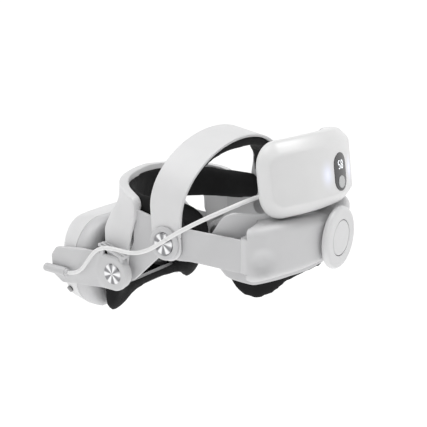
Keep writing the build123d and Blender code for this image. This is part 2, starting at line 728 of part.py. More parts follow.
STRAP_LOW = -14.0
STRAP_HIGH = 15.0
STRAP_SKIN = 2.9
STRAP_THICK = 2.5
STRAP_END_X = 29.0
with BuildPart() as strap_left:
    with BuildSketch(Plane.XY.offset(-20)):
        with BuildLine():
            for inset in (STRAP_SKIN, STRAP_SKIN + STRAP_THICK):
                r = CORNER_R - inset
                half = radians(BACK_ANGLE / 2)
                full = radians(BACK_ANGLE)
                side = SIDE_X - inset
                tangent = (CORNER_X + r * cos(full), CORNER_Y + r * sin(full))
                back = BACK_R - inset
                mid_x = (tangent[0] + STRAP_END_X) / 2
                Line((side, -18), (side, CORNER_Y))
                ThreePointArc(
                    (side, CORNER_Y), (CORNER_X + r * cos(half), CORNER_Y + r * sin(half)), tangent
                )
                ThreePointArc(
                    tangent, (mid_x, BACK_CY + sqrt(back**2 - mid_x**2)),
                    (STRAP_END_X, BACK_CY + sqrt(back**2 - STRAP_END_X**2)),
                )
            Line((SIDE_X - STRAP_SKIN, -18), (SIDE_X - STRAP_SKIN - STRAP_THICK, -18))
            Line(
                (STRAP_END_X, BACK_CY + sqrt((BACK_R - STRAP_SKIN) ** 2 - STRAP_END_X**2)),
                (STRAP_END_X, BACK_CY + sqrt((BACK_R - STRAP_SKIN - STRAP_THICK) ** 2 - STRAP_END_X**2)),
            )
        make_face()
    extrude(amount=40)
    with BuildSketch(Plane.YZ.offset(-REACH)):
        Circle(16)
        with Locations((65, (STRAP_LOW + STRAP_HIGH) / 2)):
            Rectangle(130, STRAP_HIGH - STRAP_LOW)
    extrude(amount=2 * REACH, mode=Mode.INTERSECT)
    side_disc(70, 90, 0, 0, PIN_R, mode=Mode.SUBTRACT)
save(strap_left, "side_strap_left")
strap_right = twin(strap_left)
save(strap_right, "side_strap_right")

# ---------------------------------------------------------------- rear housing, cradle, pad

HOUSING_SIDE = [
    (75, -15.5), (84, -20.5), (98, -21), (126, -14), (126, 28), (100, 28), (86, 26), (75, 18),
]
BOSS_Y = 121.8
with BuildPart() as housing:
    add(wrap_slab(0, NAPE_R + 0.3, MOUTH_Y, -24, 30).part)
    keep_side_view(HOUSING_SIDE, 2)
    back_disc(112, BOSS_Y, 0, DIAL_Z, 17)
    add(wrap_slab(WALL, NAPE_R, MOUTH_Y + WALL, -18, 24.5).part, mode=Mode.SUBTRACT)
    for side in (-1, 1):
        block(
            sorted((side * 78.2, side * 81.5)), (MOUTH_Y - 5, MOUTH_Y + 5),
            (STRAP_LOW - 0.4, STRAP_HIGH + 0.4), mode=Mode.SUBTRACT,
        )
    back_disc(110, BOSS_Y + 2, 0, DIAL_Z, PIN_R + RUNNING, mode=Mode.SUBTRACT)
save(housing, "rear_housing")

CRADLE_SIDE = [
    (42, -8), (42, 16), (52, 28), (60, 31), (108, 31), (108, -24), (74, -29), (52, -22),
]
DOCK_TONGUE_Y = 101.4
with BuildPart() as cradle:
    add(nape_slab(NAPE_R, NAPE_R - 3, 42, -32, 36).part)
    keep_side_view(CRADLE_SIDE, 4)
    block((-14, 14), (DOCK_TONGUE_Y, 105.0), (27.6, 34.6))
    back_disc(100, 110, 0, DIAL_Z, PIN_R + RUNNING, mode=Mode.SUBTRACT)
    for x in (-9, 9):
        back_disc(95, 104.6, x, 31, 1.25, mode=Mode.SUBTRACT)
save(cradle, "rear_cradle")

PAD_SIDE = [
    (46, 6), (50, -18), (58, -31), (68, -41), (79, -46), (90, -42), (98, -32), (106, -27),
    (106, 26), (60, 27), (50, 20),
]
with BuildPart() as rear_pad:
    add(nape_slab(NAPE_R - 3.3, NAPE_R - 14, 44, -50, 40).part)
    keep_side_view(PAD_SIDE, 4)
save(rear_pad, "rear_pad")

# ---------------------------------------------------------------- fit dial, spindle, racks

KNOB_Y = (BOSS_Y + 0.3, 128.6)
with BuildPart() as dial_knob:
    back_disc(KNOB_Y[0], KNOB_Y[1], 0, DIAL_Z, DIAL_R)
    fillet(dial_knob.faces().sort_by(Axis.Y)[-1].edges(), 2.4)
    back_disc(KNOB_Y[1] - 2.6, KNOB_Y[1] + 1, 0, DIAL_Z, 16.4, mode=Mode.SUBTRACT)
    back_disc(KNOB_Y[0] - 1, KNOB_Y[0] + 8, 0, DIAL_Z, PIN_R, mode=Mode.SUBTRACT)
save(dial_knob, "fit_dial")

with BuildPart() as dial_cap:
    back_disc(KNOB_Y[1] - 2.6, KNOB_Y[1] + 0.4, 0, DIAL_Z, 15.4)
    fillet(dial_cap.faces().sort_by(Axis.Y)[-1].edges(), 0.8)
save(dial_cap, "dial_cap")

RACK_Y = (107.6, 111.6)
RACK_PITCH_R = RACK_MODULE * RACK_TEETH / 2
with BuildPart() as spindle:
    back_disc(103.4, KNOB_Y[1] - 2.6, 0, DIAL_Z, PIN_R)
    with BuildSketch(Plane.XZ.offset(-RACK_Y[0])):
        with Locations((0, DIAL_Z)):
            Polygon(*pinion_profile(RACK_MODULE, RACK_TEETH), align=None)
    extrude(amount=RACK_Y[0] - RACK_Y[1] - 0.4)
save(spindle, "dial_spindle")


def strap_rack(side):
    """Rack over the pinion on the left side, under it on the right."""
    with BuildPart() as rack:
        with BuildSketch(Plane.XZ.offset(-RACK_Y[0])):
            with Locations(Location((0, DIAL_Z + side * RACK_PITCH_R), 0 if side > 0 else 180)):
                Polygon(*rack_profile(RACK_MODULE, 9, -4.5 * pi * RACK_MODULE), align=None)
        extrude(amount=RACK_Y[0] - RACK_Y[1])
    return rack


for label, side in (("left", 1), ("right", -1)):
    rack = strap_rack(side)
    save(rack, f"strap_rack_{label}")

# ---------------------------------------------------------------- battery pack

pitch = radians(PACK_PITCH)
pack_plane = Plane(
    origin=(0, PACK_Y, PACK_Z), x_dir=(1, 0, 0), z_dir=(0, -sin(pitch), cos(pitch))
)
pack_back = Plane(
    origin=(0, PACK_Y, PACK_Z), x_dir=(-1, 0, 0), z_dir=(0, cos(pitch), sin(pitch))
)


def sector_slab(outer_r, inner_r, half_angle, height):
    """Curved slab of the pack, about its own plane."""
    a = radians(half_angle)
    with BuildPart() as slab:
        with BuildSketch(pack_plane.offset(-height / 2)):
            with BuildLine():
                for r in (outer_r, inner_r):
                    CenterArc((0, PACK_CY), r, 90 - half_angle, 2 * half_angle)
                for side in (-1, 1):
                    Line(
                        (side * inner_r * sin(a), PACK_CY + inner_r * cos(a)),
                        (side * outer_r * sin(a), PACK_CY + outer_r * cos(a)),
                    )
            make_face()
        extrude(amount=height)
    return slab


def rounded_slab(outer_r, inner_r, half_angle, height, corner, edge):
    """The same slab with rounded ends and a soft outer edge."""
    with BuildPart() as slab:
        add(sector_slab(outer_r, inner_r, half_angle, height).part)
        ends = slab.edges().filter_by(GeomType.LINE).filter_by(
            lambda e: abs((e % 0.5).Z) < 0.5 and abs(e.length - (outer_r - inner_r)) < 0.1
        )
        fillet(ends, corner)
        if edge > 0:
            skin = slab.faces().filter_by(GeomType.CYLINDER).sort_by(SortBy.AREA)[-1]
            fillet(skin.edges(), edge)
    return slab


WINDOW_HALF = 9.5
WINDOW_LONG = 33.0
WINDOW_DROP = -4.8
BUTTON_DROP = WINDOW_DROP - 8.7
with BuildPart() as battery_window:
    with BuildSketch(pack_back.offset(20)):
        with Locations((0, WINDOW_DROP)):
            SlotOverall(WINDOW_LONG, 2 * WINDOW_HALF, rotation=90)
        with Locations((0, BUTTON_DROP)):
            Circle(4.5, mode=Mode.SUBTRACT)
    extrude(amount=10)
    add(sector_slab(PACK_R + 0.25, PACK_R - 1.2, 20, PACK_HEIGHT).part, mode=Mode.INTERSECT)
save(battery_window, "battery_window")

with BuildPart() as battery_outer:
    add(rounded_slab(PACK_R, PACK_IN_R + 2.5, PACK_HALF_ANGLE, PACK_HEIGHT, 15, 8).part)
    add(
        sector_slab(PACK_R - WALL, PACK_IN_R + 1, PACK_HALF_ANGLE - 6, PACK_HEIGHT - 12).part,
        mode=Mode.SUBTRACT,
    )
    with BuildSketch(pack_back.offset(15)):
        with Locations((0, WINDOW_DROP)):
            SlotOverall(WINDOW_LONG + 0.4, 2 * WINDOW_HALF + 0.4, rotation=90)
    extrude(amount=15, mode=Mode.SUBTRACT)
save(battery_outer, "battery_outer_case")

with BuildPart() as battery_inner:
    add(rounded_slab(PACK_IN_R + 2.5, PACK_IN_R, PACK_HALF_ANGLE, PACK_HEIGHT, 15, 0).part)
save(battery_inner, "battery_inner_case")

CELL_R = 73.0
with BuildPart() as battery_cells:
    for angle in (-34, 0, 34):
        cell_plane = Plane(
            pack_plane.from_local_coords(
                (CELL_R * sin(radians(angle)), PACK_CY + CELL_R * cos(radians(angle)), 0)
            ),
            x_dir=pack_plane.from_local_coords(Vector(cos(radians(angle)), -sin(radians(angle)), 0))
            - pack_plane.origin,
            z_dir=pack_plane.z_dir,
        )
        with BuildSketch(cell_plane.offset(-22)):
            RectangleRounded(35, 9.5, 3)
        extrude(amount=44)
save(battery_cells, "battery_cells")

with BuildPart() as battery_board:
    with BuildSketch(pack_back.offset(18.6)):
        RectangleRounded(26, 40, 2)
    extrude(amount=1.2)
save(battery_board, "battery_board")

with BuildPart() as battery_button:
    with BuildSketch(pack_back.offset(21.2)):
        with Locations((0, BUTTON_DROP)):
            Circle(4.2)
    extrude(amount=3.6)
    fillet(battery_button.faces().sort_by(Axis.Y)[-1].edges(), 0.7)
save(battery_button, "battery_button")

# ---------------------------------------------------------------- lead route and battery dock

# Route from the plug, past the buckle, outside the strap pivot, round the pack's end to the dock
LEAD_ROUTE = [
    (97.6, -110.5, -46), (97.6, -101, -45), (97.4, -91, -38.5), (97, -82.5, -27), (96.6, -73.5, -17),
    (96.3, -61, -12), (96, -46, -12), (95.4, -30, -12.6), (95, -14, -7.5), (95, 1, 1.8),
    (94, 18, 13.5), (91, 36, 24.5), (85.5, 52, 33.5), (76, 63, 39.5), (64.5, 69, 43), (53, 73, 45),
    (44, 80, 46.5), (37.5, 87.5, 47.5),
]
LEAD_JOIN = 9

with BuildPart() as dock_contacts:
    for x in (-6, -2, 2, 6):
        with BuildSketch(pack_back.offset(-1.2)):
            with Locations((x, -12)):
                Circle(1.1)
        extrude(amount=3.2)
save(dock_contacts, "dock_contacts")

with BuildPart() as dock:
    add(sector_slab(PACK_IN_R - 0.4, PACK_IN_R - 3.4, 34, 44).part)
    block((-14, 14), (97.5, DOCK_TONGUE_Y), (27.6, 44))
    for x in (-9, 9):
        back_disc(95, 110, x, 31, 1.25, mode=Mode.SUBTRACT)
    last_run = Vector(*LEAD_ROUTE[-1]) - Vector(*LEAD_ROUTE[-2])
    with BuildSketch(Plane(origin=LEAD_ROUTE[-1], z_dir=last_run)):
        Circle(3.1)
    extrude(amount=2.6)
    add(dock_contacts.part, mode=Mode.SUBTRACT)
save(dock, "battery_dock")

with BuildPart() as dock_screws:
    for x in (-9, 9):
        back_disc(98, 104.6, x, 31, 1.25)
        back_disc(95.8, 97.5, x, 31, 2.3)
save(dock_screws, "dock_screws")

# ---------------------------------------------------------------- lead: plug, tube, gland


def lead_radii(points):
    """The largest arc that each corner's two runs allow."""
    vectors = [Vector(*p) for p in points]
    radii = []
    for before, corner, after in zip(vectors, vectors[1:], vectors[2:]):
        first = corner - before
        second = after - corner
        turn = radians(first.get_angle(second))
        radii.append(0.45 * min(first.length, second.length) / tan(turn / 2))
    return radii


def lead_tube(points):
    with BuildPart() as tube:
        with BuildLine() as path:
            FilletPolyline(*points, radius=lead_radii(points))
        start = path.line @ 0
        with BuildSketch(Plane(origin=start, z_dir=path.line % 0)):
            Circle(LEAD_D / 2)
        sweep(path=path.line)
    length = path.wires()[0].length
    print("lead tube", round(tube.part.volume / (pi * (LEAD_D / 2) ** 2), 1), round(length, 1))
    return tube


print("lead radii", [round(r, 1) for r in lead_radii(LEAD_ROUTE)])
meeting = (Vector(*LEAD_ROUTE[LEAD_JOIN]) + Vector(*LEAD_ROUTE[LEAD_JOIN + 1])) / 2
lead_front = lead_tube(LEAD_ROUTE[: LEAD_JOIN + 1] + [tuple(meeting)])
save(lead_front, "lead_front")
lead_rear = lead_tube([tuple(meeting)] + LEAD_ROUTE[LEAD_JOIN + 1 :])
save(lead_rear, "lead_rear")

with BuildPart() as usb_plug:
    with BuildSketch(Plane.XZ.offset(-PLUG_Y[0])):
        with Locations((PLUG_X, PORT_Z)):
            Circle(4.2)
    extrude(amount=PLUG_Y[0] - PLUG_Y[1])
    fillet(usb_plug.faces().sort_by(Axis.Y)[0].edges(), 1.2)
    with BuildSketch(Plane.XZ.offset(-PLUG_Y[1])):
        with Locations((PLUG_X, PORT_Z)):
            Circle(3.2)
    extrude(amount=-2.5)
    block((84.5, PLUG_X), (PORT_Y - 4.9, PORT_Y + 4.9), (PORT_Z - 2.7, PORT_Z + 2.7))
    with BuildSketch(Plane.YZ.offset(70)):
        with Locations((PORT_Y, PORT_Z)):
            SlotOverall(7.9, 2.2)
    extrude(amount=15)
save(usb_plug, "usb_plug")
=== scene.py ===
import json
from math import asin, cos, degrees, exp, log, pi, radians, sin, sqrt, tan

import bmesh
import bpy
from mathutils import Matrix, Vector


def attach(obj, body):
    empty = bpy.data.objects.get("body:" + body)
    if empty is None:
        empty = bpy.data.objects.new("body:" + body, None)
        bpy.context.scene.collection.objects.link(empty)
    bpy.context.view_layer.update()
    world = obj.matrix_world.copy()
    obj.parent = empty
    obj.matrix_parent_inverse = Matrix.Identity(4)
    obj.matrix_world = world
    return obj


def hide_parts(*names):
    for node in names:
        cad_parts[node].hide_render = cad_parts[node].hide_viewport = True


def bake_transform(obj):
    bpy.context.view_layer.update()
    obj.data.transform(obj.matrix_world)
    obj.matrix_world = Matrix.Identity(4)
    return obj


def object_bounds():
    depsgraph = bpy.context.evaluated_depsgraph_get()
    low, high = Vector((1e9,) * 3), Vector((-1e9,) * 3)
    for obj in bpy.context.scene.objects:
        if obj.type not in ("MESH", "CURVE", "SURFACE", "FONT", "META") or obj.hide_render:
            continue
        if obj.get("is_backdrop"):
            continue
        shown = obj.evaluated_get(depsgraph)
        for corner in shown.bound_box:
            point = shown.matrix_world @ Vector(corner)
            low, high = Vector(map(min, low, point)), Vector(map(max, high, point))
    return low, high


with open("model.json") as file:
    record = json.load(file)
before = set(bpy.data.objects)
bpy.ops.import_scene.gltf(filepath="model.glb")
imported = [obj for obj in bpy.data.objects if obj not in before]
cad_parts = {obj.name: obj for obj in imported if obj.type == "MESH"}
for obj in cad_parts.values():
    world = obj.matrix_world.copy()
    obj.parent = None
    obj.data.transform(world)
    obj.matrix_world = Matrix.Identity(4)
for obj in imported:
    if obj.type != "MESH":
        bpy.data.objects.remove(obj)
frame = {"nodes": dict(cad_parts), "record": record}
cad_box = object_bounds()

# Shapes are written in millimetres and made in metres. +X is the wearer's left, -Y the front, +Z up.
MM = 0.001
NODES = frame["nodes"]
SIDES = ((1, "left"), (-1, "right"))
SQUARE = ((1, 1), (-1, 1), (-1, -1), (1, -1))


# ---------------------------------------------------------------- camera and light

def add_camera():
    """Seen from behind the wearer's left shoulder, a little above."""
    azimuth = radians(125)
    elevation = radians(15)
    back = Vector((sin(azimuth) * cos(elevation), -cos(azimuth) * cos(elevation), sin(elevation)))
    camera = bpy.data.objects.new("camera", bpy.data.cameras.new("camera"))
    bpy.context.scene.collection.objects.link(camera)
    camera.data.lens = 63.23
    camera.data.sensor_width = 36
    camera.location = Vector((0, -0.008, 0.007)) + back * 0.728
    camera.rotation_euler = back.to_track_quat("Z", "Y").to_euler()
    bpy.context.scene.camera = camera


def add_lamp(name, place, size, power):
    lamp = bpy.data.objects.new(name, bpy.data.lights.new(name, "AREA"))
    lamp.data.shape = "DISK"
    lamp.data.size = size
    lamp.data.energy = power
    lamp.location = place
    lamp.rotation_euler = Vector(place).to_track_quat("Z", "Y").to_euler()
    bpy.context.scene.collection.objects.link(lamp)


def add_studio():
    scene = bpy.context.scene
    scene.view_settings.view_transform = "Standard"
    world = bpy.data.worlds.new("studio")
    world.use_nodes = True
    world.node_tree.nodes["Background"].inputs["Color"].default_value = (1, 1, 1, 1)
    world.node_tree.nodes["Background"].inputs["Strength"].default_value = 0.12
    scene.world = world
    add_lamp("key", (0.5, -0.9, 1.4), 0.9, 9)
    add_lamp("fill", (0.9, 1.2, 0.9), 0.8, 0.5)
    add_lamp("crown", (-0.2, 0.3, 1.5), 0.7, 14)


# ---------------------------------------------------------------- outlines and solids

def rounded(points, radius, step=2.0):
    """Closed outline through (u, v) or (u, v, its own radius), corners rounded, a point every step."""
    outline = []
    for i, corner in enumerate(points):
        here = Vector(corner[:2])
        back = Vector(points[i - 1][:2]) - here
        ahead = Vector(points[(i + 1) % len(points)][:2]) - here
        half = back.angle(ahead) / 2
        wanted = corner[2] if len(corner) > 2 else radius
        reach = min(wanted / tan(half), 0.49 * back.length, 0.49 * ahead.length)
        start = here + back.normalized() * reach
        centre = here + (back.normalized() + ahead.normalized()).normalized() * (reach / cos(half))
        spoke = start - centre
        turn = pi - 2 * half
        if back.x * ahead.y - back.y * ahead.x > 0:
            turn = -turn
        count = max(2, int(spoke.length * abs(turn) / (0.5 * step)))
        for k in range(count + 1):
            a = turn * k / count
            swung = (spoke.x * cos(a) - spoke.y * sin(a), spoke.x * sin(a) + spoke.y * cos(a))
            outline.append(centre + Vector(swung))
    filled = []
    for here, after in zip(outline, outline[1:] + outline[:1]):
        parts = max(1, round((after - here).length / step))
        filled += [here.lerp(after, k / parts) for k in range(parts)]
    return [p for p, q in zip(filled, filled[1:] + filled[:1]) if (p - q).length > 0.02]


def edge_normals(loop):
    """Outward normal at each point of a closed outline."""
    area = sum(p.x * q.y - p.y * q.x for p, q in zip(loop, loop[1:] + loop[:1]))
    sign = 1 if area > 0 else -1
    normals = []
    for i in range(len(loop)):
        before = (loop[i] - loop[i - 1]).normalized()
        after = (loop[(i + 1) % len(loop)] - loop[i]).normalized()
        along = before + after
        normals.append(Vector((along.y, -along.x)).normalized() * sign)
    return normals


def shifted(loop, distance):
    return [p + n * distance for p, n in zip(loop, edge_normals(loop))]


def make_piece(name, points, faces):
    """Mesh object from points in millimetres, its normals outward and its shading smooth."""
    mesh = bpy.data.meshes.new(name)
    mesh.from_pydata([Vector(p) * MM for p in points], [], faces)
    bm = bmesh.new()
    bm.from_mesh(mesh)
    bmesh.ops.remove_doubles(bm, verts=bm.verts[:], dist=1e-7)
    bmesh.ops.recalc_face_normals(bm, faces=bm.faces[:])
    bm.to_mesh(mesh)
    bm.free()
    mesh.polygons.foreach_set("use_smooth", [True] * len(mesh.polygons))
    piece = bpy.data.objects.new(name, mesh)
    bpy.context.scene.collection.objects.link(piece)
    return piece


def slab(name, outline, place, rings, step=4.0):
    """Closed solid with an outline's shape. rings are (offset, depth) from one face's edge round to the
    other face's edge, and place(u, v, depth) is where a point of the flat outline goes."""
    inset = -rings[0][0]
    bm = bmesh.new()
    bm.faces.new([bm.verts.new((p.x, p.y, 0)) for p in shifted(outline, -inset)])
    for axis in (0, 1):
        span = [v.co[axis] for v in bm.verts]
        cut = min(span) + step * 0.51
        while cut < max(span) - 0.3 * step:
            spot = Vector((0, 0, 0))
            spot[axis] = cut
            normal = Vector((0, 0, 0))
            normal[axis] = 1
            every = bm.verts[:] + bm.edges[:] + bm.faces[:]
            bmesh.ops.bisect_plane(bm, geom=every, dist=1e-5, plane_co=spot, plane_no=normal)
            cut += step
    bm.verts.index_update()
    flat = [v.co.xy.copy() for v in bm.verts]
    cells = [[v.index for v in f.verts] for f in bm.faces]
    border = {}
    for edge in bm.edges:
        if edge.is_boundary:
            loop = edge.link_loops[0]
            border[loop.vert.index] = loop.link_loop_next.vert.index
    bm.free()
    chain = [next(iter(border))]
    while border[chain[-1]] != chain[0]:
        chain.append(border[chain[-1]])
    edge_points = [flat[i] for i in chain]
    normals = edge_normals(edge_points)
    first, last = rings[0][1], rings[-1][1]
    points = [place(p.x, p.y, first) for p in flat] + [place(p.x, p.y, last) for p in flat]
    faces = [tuple(c) for c in cells] + [tuple(i + len(flat) for i in reversed(c)) for c in cells]
    previous = chain
    for offset, depth in rings[1:-1]:
        ring = list(range(len(points), len(points) + len(chain)))
        for p, n in zip(edge_points, normals):
            q = p + n * (offset + inset)
            points.append(place(q.x, q.y, depth))
        for k in range(len(chain)):
            after = (k + 1) % len(chain)
            faces.append((previous[k], previous[after], ring[after], ring[k]))
        previous = ring
    ring = [i + len(flat) for i in chain]
    for k in range(len(chain)):
        after = (k + 1) % len(chain)
        faces.append((previous[k], previous[after], ring[after], ring[k]))
    return make_piece(name, points, faces)


def rim(near, far, near_round, far_round, inset=None, count=5):
    """Rings of a slab from depth near to depth far with both edges rounded."""
    inset = inset or max(near_round, far_round)
    sign = 1 if far > near else -1
    quarter = [pi / 2 * k / count for k in range(count + 1)]
    rings = [(-inset, near)]
    rings += [(-near_round * (1 - sin(a)), near + sign * near_round * (1 - cos(a))) for a in quarter]
    rings += [(-far_round * (1 - cos(a)), far - sign * far_round * (1 - sin(a))) for a in quarter]
    rings.append((-inset, far))
    tidy = [rings[0]]
    for ring in rings[1:-1]:
        if (Vector(ring) - Vector(tidy[-1])).length > 1e-4:
            tidy.append(ring)
    if (Vector(rings[-1]) - Vector(tidy[-1])).length < 1e-4:
        tidy.pop()
    return tidy + [rings[-1]]


def loft(name, rings, closed=False):
    """Skin over rings of points. Open ends are capped by a fan, or the last ring joins the first."""
    points = [p for ring in rings for p in ring]
    n = len(rings[0])
    count = len(rings)
    faces = []
    for j in range(count if closed else count - 1):
        a = j * n
        b = (j + 1) % count * n
        faces += [(a + k, a + (k + 1) % n, b + (k + 1) % n, b + k) for k in range(n)]
    if not closed:
        for j, ring in ((0, rings[0]), (count - 1, rings[-1])):
            points.append(sum((Vector(p) for p in ring), Vector()) / n)
            faces += [(len(points) - 1, j * n + k, j * n + (k + 1) % n) for k in range(n)]
    return make_piece(name, points, faces)


def lathe(name, profile, origin, axis, count=72):
    """Solid of revolution: profile is (radius, distance along axis)."""
    turn = Vector(axis).to_track_quat("Z", "Y")
    rings = []
    for radius, along in profile:
        ring = []
        for k in range(count):
            a = 2 * pi * k / count
            ring.append(Vector(origin) + turn @ Vector((radius * cos(a), radius * sin(a), along)))
        rings.append(ring)
    return loft(name, rings)


def softened(profile, radius, count=4):
    """Profile with each inner corner turned by a small arc."""
    made = [Vector(profile[0])]
    for before, here, after in zip(profile, profile[1:], profile[2:]):
        here = Vector(here)
        a = Vector(before) - here
        b = Vector(after) - here
        reach = min(radius, 0.45 * a.length, 0.45 * b.length)
        start = here + a.normalized() * reach
        end = here + b.normalized() * reach
        for k in range(count + 1):
            t = k / count
            made.append(start * (1 - t) ** 2 + here * (2 * t * (1 - t)) + end * t**2)
    return made + [Vector(profile[-1])]


def rounded_box_ring(half_w, half_h, radius, count=9, low_radius=None):
    """Rounded rectangle as (u, v) points, always the same number of them."""
    radii = [radius, radius, low_radius or radius, low_radius or radius]
    centres = []
    for r, across, up in zip(radii, (1, -1, -1, 1), (1, 1, -1, -1)):
        centres.append(Vector(((half_w - r) * across, (half_h - r) * up)))
    ring = []
    for quarter, (centre, r) in enumerate(zip(centres, radii)):
        angles = [pi / 2 * (quarter + k / count) for k in range(count + 1)]
        ring += [centre + Vector((r * cos(a), r * sin(a))) for a in angles]
        turned = (quarter + 1) % 4
        spoke = Vector((radii[turned] * cos(angles[-1]), radii[turned] * sin(angles[-1])))
        after = centres[turned] + spoke
        ring += [ring[-1].lerp(after, k / 12) for k in range(1, 12)]
    return ring


def both_halves(half):
    """Whole outline from its near half, which starts and ends on the middle line."""
    return half + [(-u, v, radius) for u, v, radius in reversed(half[1:-1])]


def joined(name, pieces):
    """One piece from several meshes."""
    bm = bmesh.new()
    for piece in pieces:
        bm.from_mesh(piece.data)
    mesh = bpy.data.meshes.new(name)
    bm.to_mesh(mesh)
    bm.free()
    for piece in pieces:
        bpy.data.objects.remove(piece)
    whole = bpy.data.objects.new(name, mesh)
    bpy.context.scene.collection.objects.link(whole)
    return whole


def finish_piece(piece, material, body=None, replaces=()):
    """Material, CAD nodes stood for and body of one piece."""
    piece.data.materials.clear()
    piece.data.materials.append(material)
    if replaces:
        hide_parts(*replaces)
    if body:
        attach(piece, body)
    return piece


def smooth(low, high, value):
    t = min(1.0, max(0.0, (value - low) / (high - low)))
    return t * t * (3 - 2 * t)


class Track:
    """Plane curve measured by length from its middle, positive towards its start. sign is 1 or -1,
    whichever makes the normals point to the curve's outer side."""

    def __init__(self, points, sign=1):
        self.sign = sign
        self.points = [Vector(p) for p in points]
        self.run = [0.0]
        for p, q in zip(self.points, self.points[1:]):
            self.run.append(self.run[-1] + (q - p).length)
        self.half = self.run[-1] / 2

    def at(self, s):
        """Point and outward normal at s."""
        length = self.half - s
        k = 0
        while k < len(self.run) - 2 and self.run[k + 1] < length:
            k += 1
        here, after = self.points[k], self.points[k + 1]
        along = (after - here) / (self.run[k + 1] - self.run[k])
        ahead = self.points[min(k + 2, len(self.points) - 1)] - here
        behind = after - self.points[max(k - 1, 0)]
        t = (length - self.run[k]) / (self.run[k + 1] - self.run[k])
        blend = behind.normalized().lerp(ahead.normalized(), min(1.0, max(0.0, t)))
        return here + along * (length - self.run[k]), Vector((blend.y, -blend.x)).normalized() * self.sign

    def where(self, test):
        """Length from the middle of the first point, from the start, that passes the test."""
        for p, run in zip(self.points, self.run):
            if test(p):
                return self.half - run
        raise ValueError("no such point on the track")


def arc(cx, cy, r, start, end, count=24):
    """Points of an arc, angles in degrees."""
    made = []
    for k in range(count + 1):
        a = radians(start + (end - start) * k / count)
        made.append((cx + r * cos(a), cy + r * sin(a)))
    return made


# ---------------------------------------------------------------- materials

class Nodes:
    """Short hand for wiring one material, new or already made."""

    def __init__(self, name, material=None):
        self.material = material or bpy.data.materials.new(name)
        self.material.use_nodes = True
        self.tree = self.material.node_tree
        self.shader = self.tree.nodes["Principled BSDF"]
        self.where = self.add("ShaderNodeTexCoord").outputs["Object"]

    def add(self, kind, **inputs):
        node = self.tree.nodes.new(kind)
        for key, value in inputs.items():
            node.inputs[key.replace("_", " ")].default_value = value
        return node

    def link(self, source, target):
        self.tree.links.new(source, target)

    def noise(self, scale, detail=3.0, roughness=0.55):
        node = self.add("ShaderNodeTexNoise", Scale=scale, Detail=detail, Roughness=roughness)
        self.link(self.where, node.inputs["Vector"])
        return node.outputs["Fac"]

    def ramp(self, source, low, high, start=0.0, end=1.0):
        """Colours from low to high as the source goes from start to end."""
        node = self.add("ShaderNodeValToRGB")
        node.color_ramp.elements[0].position = start
        node.color_ramp.elements[1].position = end
        node.color_ramp.elements[0].color = (*low, 1)
        node.color_ramp.elements[1].color = (*high, 1)
        self.link(source, node.inputs["Fac"])
        return node.outputs["Color"]

    def grey_range(self, source, low, high):
        node = self.add("ShaderNodeMapRange")
        node.inputs["To Min"].default_value = low
        node.inputs["To Max"].default_value = high
        self.link(source, node.inputs["Value"])
        return node.outputs["Result"]

    def math(self, operation, a, b=None):
        node = self.add("ShaderNodeMath")
        node.operation = operation
        for socket, value in zip(node.inputs, (a, b)):
            if isinstance(value, (int, float)):
                socket.default_value = value
            elif value is not None:
                self.link(value, socket)
        return node.outputs[0]

    def vector_math(self, operation, source, by=None):
        node = self.add("ShaderNodeVectorMath")
        node.operation = operation
        self.link(source, node.inputs[0])
        if by is not None:
            node.inputs[1].default_value = by
        return node

    def bump(self, height, strength, distance, under=None):
        node = self.add("ShaderNodeBump", Strength=strength, Distance=distance)
        self.link(height, node.inputs["Height"])
        if under:
            self.link(under, node.inputs["Normal"])
        return node.outputs["Normal"]

    def set(self, **values):
        for key, value in values.items():
            self.shader.inputs[key.replace("_", " ")].default_value = value


def plastic(name, colour, roughness=0.42, grain=1.0):
    """Moulded plastic: fine spark-eroded grain, faint colour drift, slightly uneven gloss."""
    n = Nodes(name)
    drift = n.noise(38, 4)
    low = tuple(c * 0.965 for c in colour)
    n.link(n.ramp(drift, low, colour, 0.3, 0.7), n.shader.inputs["Base Color"])
    n.link(n.grey_range(n.noise(210, 3), roughness - 0.05, roughness + 0.07), n.shader.inputs["Roughness"])
    fine = n.bump(n.noise(3600, 2), 0.10 * grain, 0.00006)
    n.link(n.bump(n.noise(900, 2), 0.05 * grain, 0.0001, fine), n.shader.inputs["Normal"])
    n.set(IOR=1.49)
    return n.material


def knit(name, colour, scale=1500.0, strength=0.5):
    """Fine knitted cloth over foam: crossed rows of loops, fuzz and a soft sheen."""
    n = Nodes(name)
    split = n.add("ShaderNodeSeparateXYZ")
    n.link(n.where, split.inputs["Vector"])
    rows = []
    for a, b, factor in (("X", "Y", 1.0), ("Z", "X", 1.0), ("Z", "Y", -1.0)):
        total = n.math("ADD", split.outputs[a], n.math("MULTIPLY", split.outputs[b], factor))
        rows.append(n.math("SINE", n.math("MULTIPLY", total, scale * 1.6)))
    weave = n.math("ADD", n.math("MULTIPLY", rows[0], rows[1]), n.math("MULTIPLY", rows[2], 0.5))
    weave = n.math("ADD", n.math("MULTIPLY", weave, 0.33), 0.5)
    fuzz = n.noise(2600, 3)
    blotch = n.noise(60, 3)
    tone = n.math("ADD", n.math("MULTIPLY", weave, 0.35), n.math("MULTIPLY", blotch, 0.65))
    low = tuple(c * 0.72 for c in colour)
    high = tuple(min(1, c * 1.35) for c in colour)
    n.link(n.ramp(tone, low, high, 0.25, 0.8), n.shader.inputs["Base Color"])
    n.link(n.grey_range(fuzz, 0.82, 0.97), n.shader.inputs["Roughness"])
    under = n.bump(weave, strength, 0.0003)
    n.link(n.bump(fuzz, 0.25, 0.0002, under), n.shader.inputs["Normal"])
    n.set(Sheen_Weight=0.04, Sheen_Roughness=0.5, Specular_IOR_Level=0.25)
    return n.material


